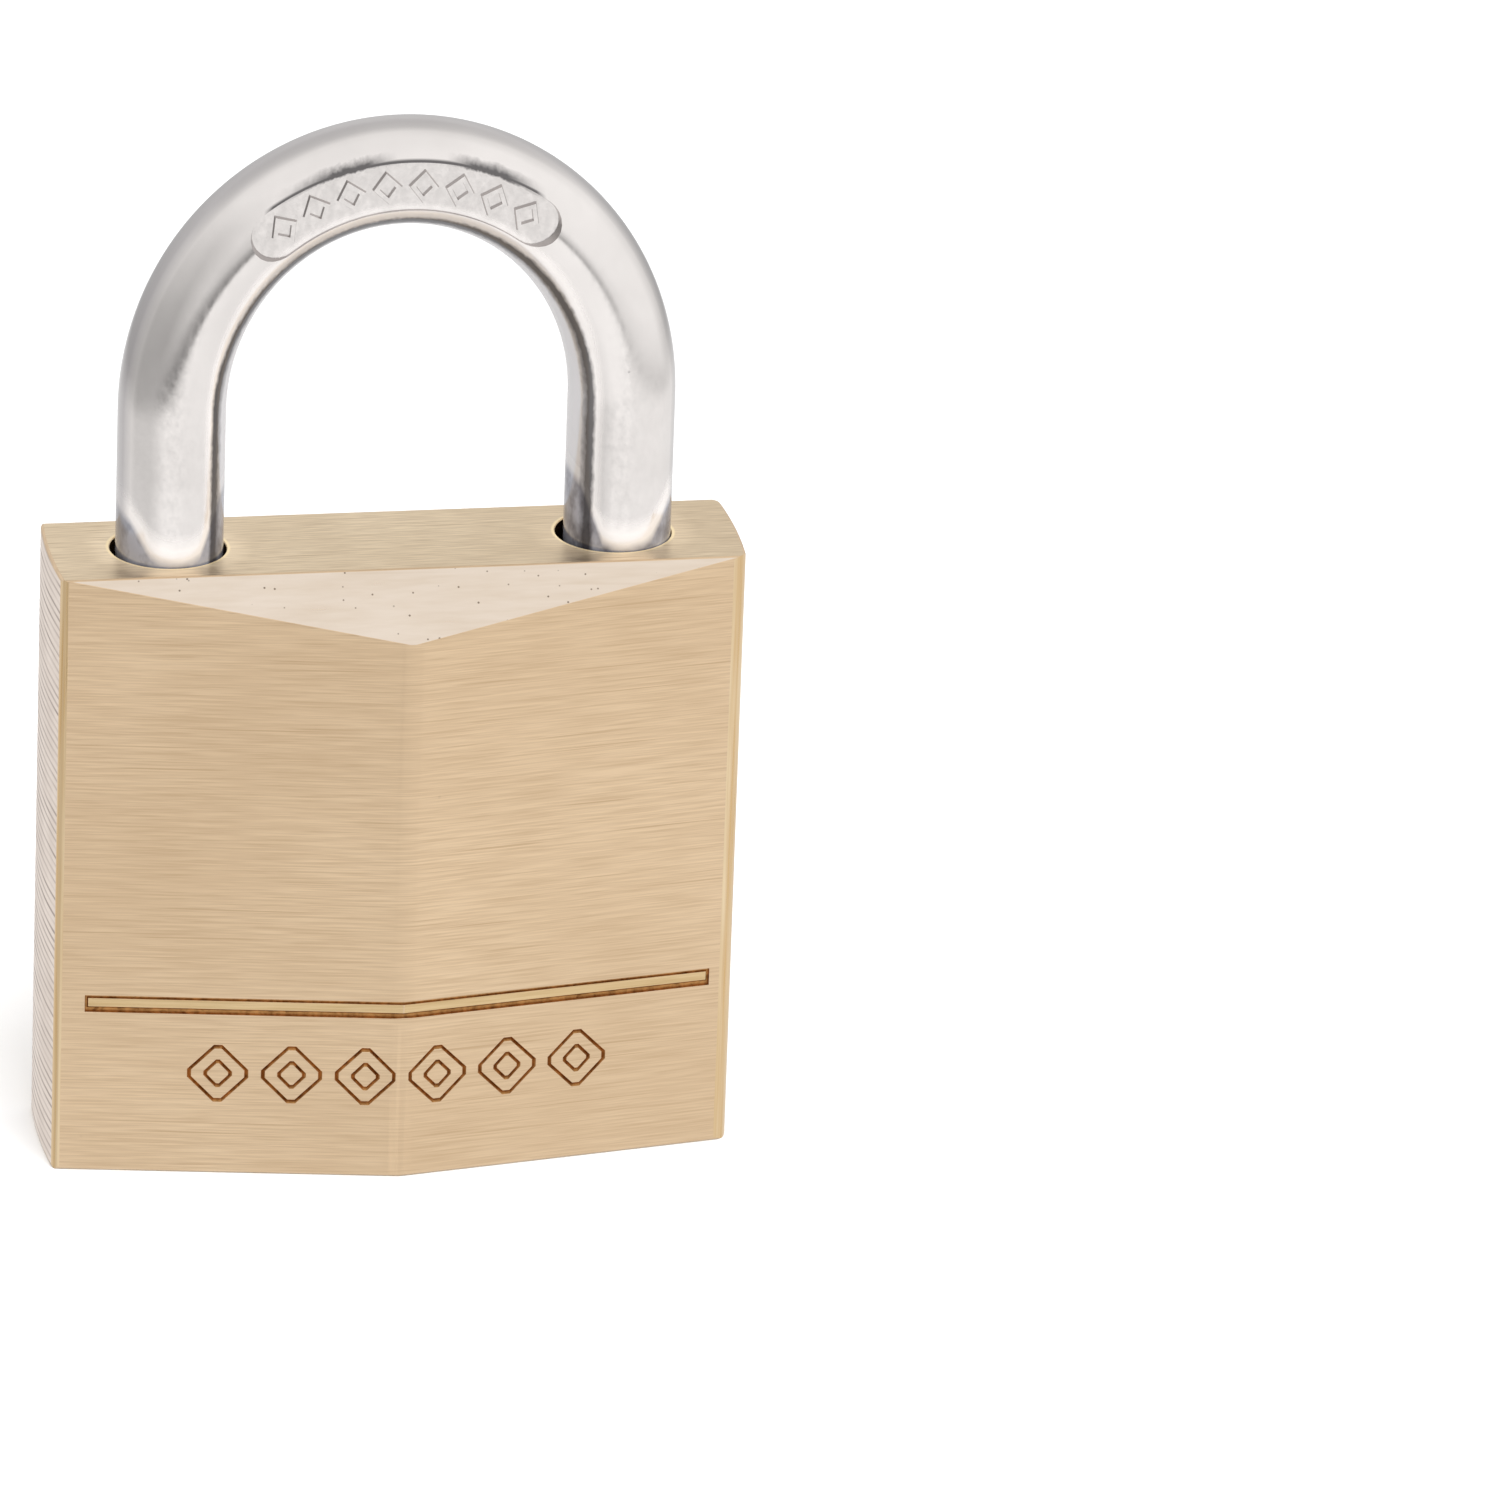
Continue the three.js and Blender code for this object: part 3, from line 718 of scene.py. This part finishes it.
def swept(name, stations, side_vector, sides=96):
    """A round bar through stations of place, outward direction and radius, closed at both ends."""
    bm = bmesh.new()
    rings = []
    angles = [2 * math.pi * i / sides for i in range(sides)]
    for place, outward, radius in stations:
        spokes = [outward * math.cos(a) + side_vector * math.sin(a) for a in angles]
        rings.append([bm.verts.new(place + spoke * radius) for spoke in spokes])
    for ring, following in zip(rings, rings[1:]):
        for i in range(sides):
            j = (i + 1) % sides
            bm.faces.new((ring[i], ring[j], following[j], following[i])).smooth = True
    bm.faces.new(rings[0])
    bm.faces.new(rings[-1])
    return mesh_object(name, bm)


shackle = swept("steel_shackle", bar_stations(), Vector((0, 1, 0)))
notch_depth, notch_half_height, notch_half_width = 1.25, 2.7, 6
notch_floor = leg_x - bar_radius + notch_depth
cut_away(
    shackle,
    slab(
        "notch_mill",
        (-notch_floor, -notch_half_width, bolt_height - notch_half_height),
        (notch_floor, notch_half_width, bolt_height + notch_half_height),
    ),
)

panel_depth, die_draft = 0.55, 0.25
panel_floor_y = -bar_radius + panel_depth
panel_half_width, panel_offset = 1.4, -0.1
panel_sweep, panel_middle = math.radians(35), math.radians(-1.3)


def bend_point(angle, offset, along=0.0):
    """A point in the plane of the bend, so far outside its middle line and so far along it."""
    place = Vector((leg_x * math.sin(angle), bend_base + bend_rise * math.cos(angle)))
    outward = Vector((bend_rise * math.sin(angle), leg_x * math.cos(angle))).normalized()
    forward = Vector((outward.y, -outward.x))
    return place + outward * offset + forward * along


def panel_outline(half_width):
    """A strip round the crown with round ends."""
    steps, end_steps = 48, 12
    points = []
    for side in (1, -1):
        for i in range(steps + 1):
            angle = panel_middle + side * panel_sweep * (2 * i / steps - 1)
            points.append(bend_point(angle, panel_offset + side * half_width))
        for i in range(1, end_steps):
            angle = math.pi * i / end_steps
            across, along = side * half_width * math.cos(angle), side * half_width * math.sin(angle)
            points.append(bend_point(panel_middle + side * panel_sweep, panel_offset + across, along))
    return points


def prism(name, near_outline, near, far_outline, far, along="Y", wall_index=0, end_index=0):
    """A solid between two like outlines, each drawn square to an axis at its own place along it."""
    bm = bmesh.new()
    ends = []
    for outline, place in ((near_outline, near), (far_outline, far)):
        ends.append([bm.verts.new((a, place, b) if along == "Y" else (a, b, place)) for a, b in outline])
    for end in ends:
        bm.faces.new(end).material_index = end_index
    near_end, far_end = ends
    for i in range(len(near_end)):
        j = (i + 1) % len(near_end)
        bm.faces.new((near_end[i], near_end[j], far_end[j], far_end[i])).material_index = wall_index
    return mesh_object(name, bm)


# The walls that the die leaves have the second of the shackle's finishes, index 1, a darker grey steel that
# paints shade into the recess.
die = prism(
    "crown_die",
    panel_outline(panel_half_width), panel_floor_y,
    panel_outline(panel_half_width + die_draft), -bar_radius - 0.3,
    wall_index=1,
)
mark_count, mark_height, mark_spread = 8, 0.22, 0.93


def mark_outline(angle, half_length, half_width):
    """A lozenge that stands across the panel at an angle round the bend."""
    return [
        bend_point(angle, panel_offset + half_width), bend_point(angle, panel_offset, half_length),
        bend_point(angle, panel_offset - half_width), bend_point(angle, panel_offset, -half_length),
    ]


for i in range(mark_count):
    angle = panel_middle + panel_sweep * mark_spread * (2 * i / (mark_count - 1) - 1)
    mark = prism(
        "crown_mark",
        mark_outline(angle, 0.92, 1.06), panel_floor_y + 0.1,
        mark_outline(angle, 0.8, 0.92), panel_floor_y - mark_height,
        wall_index=1,
    )
    hollow = prism(
        "crown_mark_hollow",
        mark_outline(angle, 0.4, 0.48), panel_floor_y + 0.2,
        mark_outline(angle, 0.52, 0.6), panel_floor_y - 2 * mark_height,
        wall_index=1,
    )
    cut_away(die, cut_away(mark, hollow))
cut_away(shackle, die)


def polished_steel(name, light, dark, roughness):
    """Steel with a faint cloud in its tone and a fine peel, given with what a finish over it needs."""
    finish, tree, shader, place = setup(name)
    cloud = noise(tree, place, (160, 160, 160), 3)
    peel = noise(tree, place, (2600, 2600, 1500), 3)
    tone = mixed(tree, span(tree, cloud, 0.35, 0.7), light, dark)
    link(tree, tone, shader.inputs["Base Color"])
    link(tree, span(tree, peel, 0.3, 0.7, roughness - 0.04, roughness + 0.06), shader.inputs["Roughness"])
    raised(tree, peel, shader, 3e-6)
    return finish, tree, shader, place, tone, peel


def machined_steel(name, light, dark, roughness):
    """The finish alone, where nothing goes over it."""
    return polished_steel(name, light, dark, roughness)[0]


def hump(tree, value, start, top_start, top_end, end):
    """0 up to the start, 1 on the top, and 0 again from the end on."""
    rise = span(tree, value, start, top_start)
    fall = span(tree, value, end, top_end)
    return calc(tree, "MULTIPLY", rise, fall)


def plated_finish():
    """Bright plate, less metallic inside the bend and at the body, with painted reflection and shade: a grey
    band and a dark line inside the bend, a grey zone at the foot of each leg, a dark outer rim and a dark
    line along the panel's upper edge, and two dark smudges above the panel.
    """
    finish, tree, shader, place, tone, peel = polished_steel(
        "polished_nickel_plate", shade(239, 234, 231), shade(230, 225, 222), 0.12
    )
    at = tree.nodes.new("ShaderNodeSeparateXYZ")
    link(tree, place, at.inputs[0])
    # How far inside the bar's middle line a point is, from -1 outside to 1 inside.
    above = calc(tree, "MAXIMUM", calc(tree, "SUBTRACT", at.outputs["Z"], bend_base * MM), 0)
    reach_x = calc(tree, "POWER", calc(tree, "MULTIPLY", at.outputs["X"], 1 / (leg_x * MM)), 2)
    reach_z = calc(tree, "POWER", calc(tree, "MULTIPLY", above, 1 / (bend_rise * MM)), 2)
    outside = calc(tree, "SUBTRACT", calc(tree, "SQRT", calc(tree, "ADD", reach_x, reach_z)), 1)
    inward = calc(tree, "MULTIPLY", outside, -(leg_x + bend_rise) / 2 / bar_radius)
    rough_edge = calc(tree, "MULTIPLY_ADD", peel, 0.08, inward)
    crown = span(tree, above, 0.002, 0.009)
    # A grey band inside the bend, and a dark line along its edge, are painted reflection.
    painted_grey_inner_side = span(tree, calc(tree, "MULTIPLY_ADD", crown, 0.2, rough_edge), 0.76, 0.88)
    inner_line = hump(tree, rough_edge, 0.66, 0.73, 0.82, 0.92)
    # A dark rim along the bar's outer edge is painted shade.
    painted_dark_outer_rim = span(tree, inward, -0.86, -0.98)
    # At the foot of each leg a mottled grey reflection of the body is painted and the plate is less metallic,
    # more so to its sides, most of all towards the bend's inside.
    high = calc(tree, "SUBTRACT", at.outputs["Z"], body_height * MM)
    side = calc(tree, "POWER", inward, 2)
    foot_top = calc(tree, "MULTIPLY_ADD", side, 0.0019, -0.00015)
    foot_top = calc(tree, "MULTIPLY_ADD", span(tree, inward, -0.5, -0.85), 0.0008, foot_top)
    foot_top = calc(tree, "MULTIPLY_ADD", span(tree, inward, 0.45, 0.85), 0.0022, foot_top)
    ragged = noise(tree, place, (420, 420, 420), 3)
    foot_top = calc(tree, "MULTIPLY_ADD", ragged, 0.0006, foot_top)
    out_of_hole = span(tree, high, -0.0016, -0.0008)
    over_foot = calc(tree, "SUBTRACT", high, foot_top)
    foot = calc(tree, "MULTIPLY", span(tree, over_foot, 0.0003, -0.0003), out_of_hole)
    foot_mottle = noise(tree, place, (700, 700, 500), 3)
    painted_foot_reflection_tone = mixed(tree, span(tree, foot_mottle, 0.35, 0.6), shade(112, 111, 118), shade(166, 167, 176))
    tone = mixed(tree, calc(tree, "MULTIPLY", painted_grey_inner_side, 0.85), tone, shade(203, 201, 203))
    tone = mixed(tree, foot, tone, painted_foot_reflection_tone)
    tone = mixed(tree, calc(tree, "MULTIPLY", painted_dark_outer_rim, 0.6), tone, shade(150, 147, 150))
    grey_side = span(tree, calc(tree, "MULTIPLY_ADD", crown, 0.15, inward), 0.48, 0.62)
    dull = calc(tree, "MAXIMUM", calc(tree, "MULTIPLY", grey_side, 0.8), foot)
    above_foot = span(tree, over_foot, 0.0018, 0.0008)
    dull = calc(tree, "MAXIMUM", calc(tree, "MULTIPLY", above_foot, 0.95), dull)
    dull = calc(tree, "MULTIPLY", dull, out_of_hole)
    link(tree, calc(tree, "MULTIPLY_ADD", dull, -0.7, 1), shader.inputs["Metallic"])
    # Above the panel the plate has two dark smudges, and a fine dark line is painted along the panel's upper
    # edge as its shadow.
    across_crown = at.outputs["X"]
    left_smudge = hump(tree, across_crown, -0.0078, -0.0045, -0.0025, -0.0008)
    right_smudge = hump(tree, across_crown, 0.002, 0.0035, 0.0055, 0.0078)
    smudges = calc(tree, "MAXIMUM", left_smudge, right_smudge)
    die_edge = hump(tree, calc(tree, "MULTIPLY_ADD", peel, 0.12, inward), -0.56, -0.42, -0.34, -0.3)
    on_crown = span(tree, above, 0.009, 0.0105)
    smudged = calc(tree, "MULTIPLY", smudges, die_edge)
    line_length = hump(tree, across_crown, -0.0084, -0.0079, 0.0072, 0.0078)
    painted_edge_shadow_line = calc(tree, "MULTIPLY", hump(tree, inward, -0.5, -0.46, -0.43, -0.41), line_length)
    smudges_and_edge_shadow = calc(tree, "MULTIPLY", on_crown, calc(tree, "MAXIMUM", smudged, painted_edge_shadow_line))
    specks = calc(tree, "MULTIPLY", pits(tree, place, 700, 0.04), 0.5)
    inner_shadow = calc(tree, "MULTIPLY", inner_line, calc(tree, "MULTIPLY", out_of_hole, 0.85))
    painted_shade_smudges_and_specks = calc(tree, "MAXIMUM", inner_shadow, calc(tree, "MULTIPLY", smudges_and_edge_shadow, 0.85))
    painted_shade_smudges_and_specks = calc(tree, "MAXIMUM", painted_shade_smudges_and_specks, specks)
    # Painted shade inside the bend and along the panel's edge, with the smudges and specks, darkens the tone
    # here.
    tone = mixed(tree, painted_shade_smudges_and_specks, tone, shade(48, 46, 50))
    link(tree, tone, shader.inputs["Base Color"])
    return finish


shackle.data.materials.append(plated_finish())
# The die's walls are a darker grey: painted shade in the recess.
shackle.data.materials.append(
    machined_steel("die_wall_steel_painted_shade", shade(200, 196, 194), shade(160, 156, 156), 0.2)
)
shackle.data.shade_smooth()
shackle.data.set_sharp_from_angle(angle=sharp_angle)
settle(shackle, "shackle", "shackle")

# ---- Shackle spring and retainer pin ----
# A coil of hardened wire under the heel pops the shackle up. A steel pin, pressed in from the
# back and filed a little below the face, stands in the heel's neck and stops the lift.

spring_wire = machined_steel("spring_wire", shade(206, 203, 198), shade(160, 156, 152), 0.26)
bright_steel = machined_steel("machined_steel", shade(186, 184, 181), shade(140, 138, 136), 0.34)


def coil(name, mean_radius, wire_radius, length, free_turns, place, along="Z", spin=0.0):
    """A compression spring with one closed turn at each end."""
    closed = 1.2 * 2 * wire_radius
    rise = length - 2 * wire_radius - 2 * closed
    steps_per_turn = 28
    steps = round((free_turns + 2) * steps_per_turn)
    stations = []
    for i in range(steps + 1):
        turn = i / steps_per_turn
        climb = min(turn, 1) * closed + min(max(turn - 1, 0), free_turns) / free_turns * rise
        climb += max(turn - 1 - free_turns, 0) * closed
        outward = Vector((math.cos(2 * math.pi * turn + spin), math.sin(2 * math.pi * turn + spin), 0))
        stations.append((outward * mean_radius + Vector((0, 0, wire_radius + climb)), outward, wire_radius))
    spring = swept(name, stations, Vector((0, 0, 1)), sides=12)
    lay = Matrix.Rotation(math.pi / 2, 4, "Y") if along == "X" else Matrix()
    spring.data.transform(Matrix.Translation(place) @ lay)
    spring.data.materials.append(spring_wire)
    return spring


spring_place = (-leg_x, 0, heel_hole_floor + 0.2)
shackle_spring = coil(
    "coiled_shackle_spring", mean_radius=2.3, wire_radius=0.3, length=5, free_turns=4, place=spring_place
)
settle(shackle_spring, "case", "shackle_spring")


def finished(piece, *finishes):
    """Gives a piece its metals, and shades it smooth between its sharp edges."""
    for finish in finishes:
        piece.data.materials.append(finish)
    piece.data.shade_smooth()
    piece.data.set_sharp_from_angle(angle=math.radians(30))
    return piece


stop_profile = [(0, 2.25), (0.7, 2.25), (0.95, 2.5), (0.95, 5.3), (0.85, 5.45), (0, 5.49)]
shackle_stop = turned("steel_shackle_retainer_pin", stop_profile, 48, retainer_place, "Y")
settle(finished(shackle_stop, bright_steel), "case", "shackle_retainer_pin")

# ---- Cylinder plug ----
# A barrel turned from yellow brass, with a warded keyway broached up from its face, four pin
# holes drilled from one side, a groove for its retainer and a square socket in its top end.

plug_radius, plug_face, plug_top = 5.5, 0.4, 22.4
groove_low, groove_high, groove_radius = 19.7, 21.5, 4.3
yellow_brass = grained_brass(
    "turned_brass", shade(240, 212, 146), shade(204, 168, 98), (2500, 2500, 5200), 0.26, 4e-6, 0.6,
    pit_share=0.01,
)
dark_brass = grained_brass(
    "broached_brass", shade(196, 160, 98), shade(140, 108, 60), (900, 900, 300), 0.4, 6e-6, 0.6,
    pit_share=0.01,
)
plug_profile = [
    (0, plug_face), (5.05, plug_face), (5.2, plug_face + 0.05), (plug_radius, plug_face + 0.35),
    (plug_radius, groove_low - 0.1), (plug_radius - 0.1, groove_low), (groove_radius, groove_low),
    (groove_radius, groove_high), (plug_radius - 0.1, groove_high), (plug_radius, groove_high + 0.1),
    (plug_radius, plug_top - 0.25), (plug_radius - 0.25, plug_top), (0, plug_top),
]
plug = turned("brass_cylinder_plug", plug_profile, 128)


def keyway_outline():
    """The section of a grooved key blade, upright at rest, with its pin side towards the back."""
    half = 1
    blade = [
        (-4.7, -half), (-2.7, -half), (-2.5, -0.25), (-1.2, -0.25), (-1, -half), (4, -half),
        (4, half), (1.4, half), (1.2, 0.45), (0.3, 0.45), (0.1, half), (-4.7, half),
    ]
    return [(-across, along) for along, across in blade]


# What is cut in the plug has the second of its finishes, index 1.
keyway = prism("keyway_broach", keyway_outline(), -1, keyway_outline(), 19, "Z", 1, 1)
socket_half, socket_floor = 2.1, 20.7
socket = slab("socket_broach", (-socket_half, -socket_half, socket_floor), (socket_half, socket_half, 24), 1)
pin_drill = [(0, -1.6), (pin_hole_radius, -1.6), (pin_hole_radius, 7), (0, 7)]
pin_drills = [turned("pin_drill", pin_drill, 48, (0, 0, height), "Y", 1) for height in pin_heights]
cut_away(plug, keyway, socket, *pin_drills)
settle(finished(plug, yellow_brass, dark_brass), "plug", "cylinder_plug")

# ---- Key pins and driver pins ----
# Each stack has a pointed brass key pin in the plug, of its own length, and a blunt driver of
# nickel silver behind it in the body, which a light steel spring pushes towards the plug.

pin_radius = 1.45
pin_tips = [0.6, -0.2, 1.2, 0.3]
driver_inner, driver_outer, driver_travel = 5.64, 9.44, 2
nickel_silver = machined_steel("nickel_silver", shade(214, 208, 190), shade(178, 171, 152), 0.28)
for number, (height, tip) in enumerate(zip(pin_heights, pin_tips), 1):
    head = plug_radius - 0.05
    key_profile = [
        (0, tip), (0.35, tip), (0.5, tip + 0.08), (pin_radius - 0.06, tip + 0.94), (pin_radius, tip + 1.05),
        (pin_radius, head - 0.4), (pin_radius - 0.12, head - 0.22), (0.75, head), (0, head),
    ]
    key_pin = turned(f"brass_key_pin_{number}", key_profile, 64, (0, 0, height), "Y")
    settle(finished(key_pin, yellow_brass), f"key_pin_{number}", f"key_pin_{number}")

    driver_profile = [
        (0, driver_inner), (pin_radius - 0.3, driver_inner), (pin_radius - 0.08, driver_inner + 0.1),
        (pin_radius, driver_inner + 0.3), (pin_radius, driver_outer - 0.3),
        (pin_radius - 0.08, driver_outer - 0.1), (pin_radius - 0.3, driver_outer), (0, driver_outer),
    ]
    driver = turned(f"silver_driver_pin_{number}", driver_profile, 64, (0, 0, height), "X")
    settle(finished(driver, nickel_silver), f"driver_pin_{number}", f"driver_pin_{number}")

    spring_start, spring_end = driver_outer + 0.15, cap_inner - 0.15
    room = spring_end - spring_start
    spring = coil(f"coiled_pin_spring_{number}", 1.15, 0.18, room, 6, (spring_start, 0, height), "X", number)
    settle(spring, "case", f"pin_spring_{number}")
    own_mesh(spring)

# ---- Plug retainer pin ----
# A stepped steel pin behind the fifth cap. Its thin end stands in the plug's groove, so that
# the plug can turn but can't be drawn out.

retainer_tip, retainer_step, retainer_end = 4.55, 5.86, cap_inner - 0.15
retainer_profile = [
    (0, retainer_tip), (0.7, retainer_tip), (0.85, retainer_tip + 0.15), (0.85, retainer_step),
    (1.4, retainer_step), (1.5, retainer_step + 0.1), (1.5, retainer_end - 0.15), (1.35, retainer_end),
    (0, retainer_end),
]
retainer = turned("steel_plug_retainer_pin", retainer_profile, 48, (0, 0, retainer_height), "X")
settle(finished(retainer, bright_steel), "case", "plug_retainer_pin")

# ---- Drive plate ----
# A turned steel disc on top of the plug. Its square tang sits in the plug's socket, and two
# pins on its top reach into the bolts' slots and draw the bolts in as the plug turns.

cam_pin_radius, bolt_travel = 0.75, 1.6
plate_profile = [
    (0, 22.7), (3.35, 22.7), (3.5, 22.85), (3.5, 24.7), (5.15, 24.7), (5.3, 24.85),
    (5.3, 26.95), (5.15, 27.1), (0, 27.1),
]
drive_plate = turned("steel_drive_plate", plate_profile, 96)
tang_half = socket_half - 0.15
tang = slab("tang", (-tang_half, -tang_half, socket_floor + 0.3), (tang_half, tang_half, 23.5))
tang_bevel = tang.modifiers.new("broken_edges", "BEVEL")
tang_bevel.width, tang_bevel.segments = 0.15, 2
keep_modified(tang)
cam_pin_profile = [
    (0, 26), (cam_pin_radius, 26), (cam_pin_radius, 31.85), (cam_pin_radius - 0.15, 32), (0, 32),
]
cam_pins = [turned("cam_pin", cam_pin_profile, 40, (0, side * bolt_travel, 0)) for side in (-1, 1)]
cut_away(drive_plate, tang, *cam_pins, how="UNION")
settle(finished(drive_plate, bright_steel), "plug", "drive_plate")

# ---- Locking bolts and their springs ----
# Two like steel bolts lie head to tongue in a tunnel from one of the shackle's notches to the other. Each
# tongue has a slot for one of the drive plate's pins, and two small springs push the bolts apart.

bolt_half_width, bolt_reach, head_inner = 3.2, 10.9, 6.1
tongue_split, tongue_tip = 0.1, -0.3
cam_slot_middle, cam_slot_half = 1.769, 1.019


def bolt_outline():
    """A bolt from above, with a wide head towards the shackle and a half-width tongue."""
    nose = 0.4
    return [
        (head_inner, -bolt_half_width), (bolt_reach - nose, -bolt_half_width),
        (bolt_reach, -bolt_half_width + nose), (bolt_reach, bolt_half_width - nose),
        (bolt_reach - nose, bolt_half_width), (tongue_tip, bolt_half_width),
        (tongue_tip, tongue_split), (head_inner, tongue_split),
    ]


def slot_outline():
    """A slot with one round end, open at the tongue's inner edge."""
    steps = 20
    low, high = cam_slot_middle - cam_slot_half, cam_slot_middle + cam_slot_half
    outline = [(low, -1), (high, -1)]
    for i in range(steps + 1):
        angle = math.pi * i / steps
        across = cam_slot_middle + cam_slot_half * math.cos(angle)
        outline.append((across, bolt_travel + cam_slot_half * math.sin(angle)))
    return outline


bolt_low, bolt_high = bolt_height - bolt_half_height, bolt_height + bolt_half_height
for node, half_turn, shift in (("toe_bolt", 0, -bolt_travel), ("heel_bolt", math.pi, bolt_travel)):
    bolt = prism(f"steel_{node}", bolt_outline(), bolt_low, bolt_outline(), bolt_high, "Z")
    cut_away(bolt, prism("slot_mill", slot_outline(), bolt_low - 1.6, slot_outline(), bolt_high + 1.6, "Z"))
    edges = bolt.modifiers.new("tumbled_edges", "BEVEL")
    edges.width, edges.segments, edges.limit_method = 0.12, 2, "ANGLE"
    keep_modified(bolt)
    bolt.data.transform(Matrix.Translation((shift, 0, 0)) @ Matrix.Rotation(half_turn, 4, "Z"))
    settle(finished(bolt, bright_steel), node, node)

spring_gap = 0.15
spring_from = -head_inner + bolt_travel + spring_gap
spring_room = tongue_tip - bolt_travel - spring_gap - spring_from
for node, half_turn in (("back_bolt_spring", 0), ("front_bolt_spring", math.pi)):
    place = (spring_from, (tongue_split + bolt_half_width) / 2, bolt_height)
    bolt_spring = coil(f"coiled_{node}", 1, 0.16, spring_room, 2.5, place, "X")
    bolt_spring.data.transform(Matrix.Rotation(half_turn, 4, "Z"))
    settle(bolt_spring, "case", node)
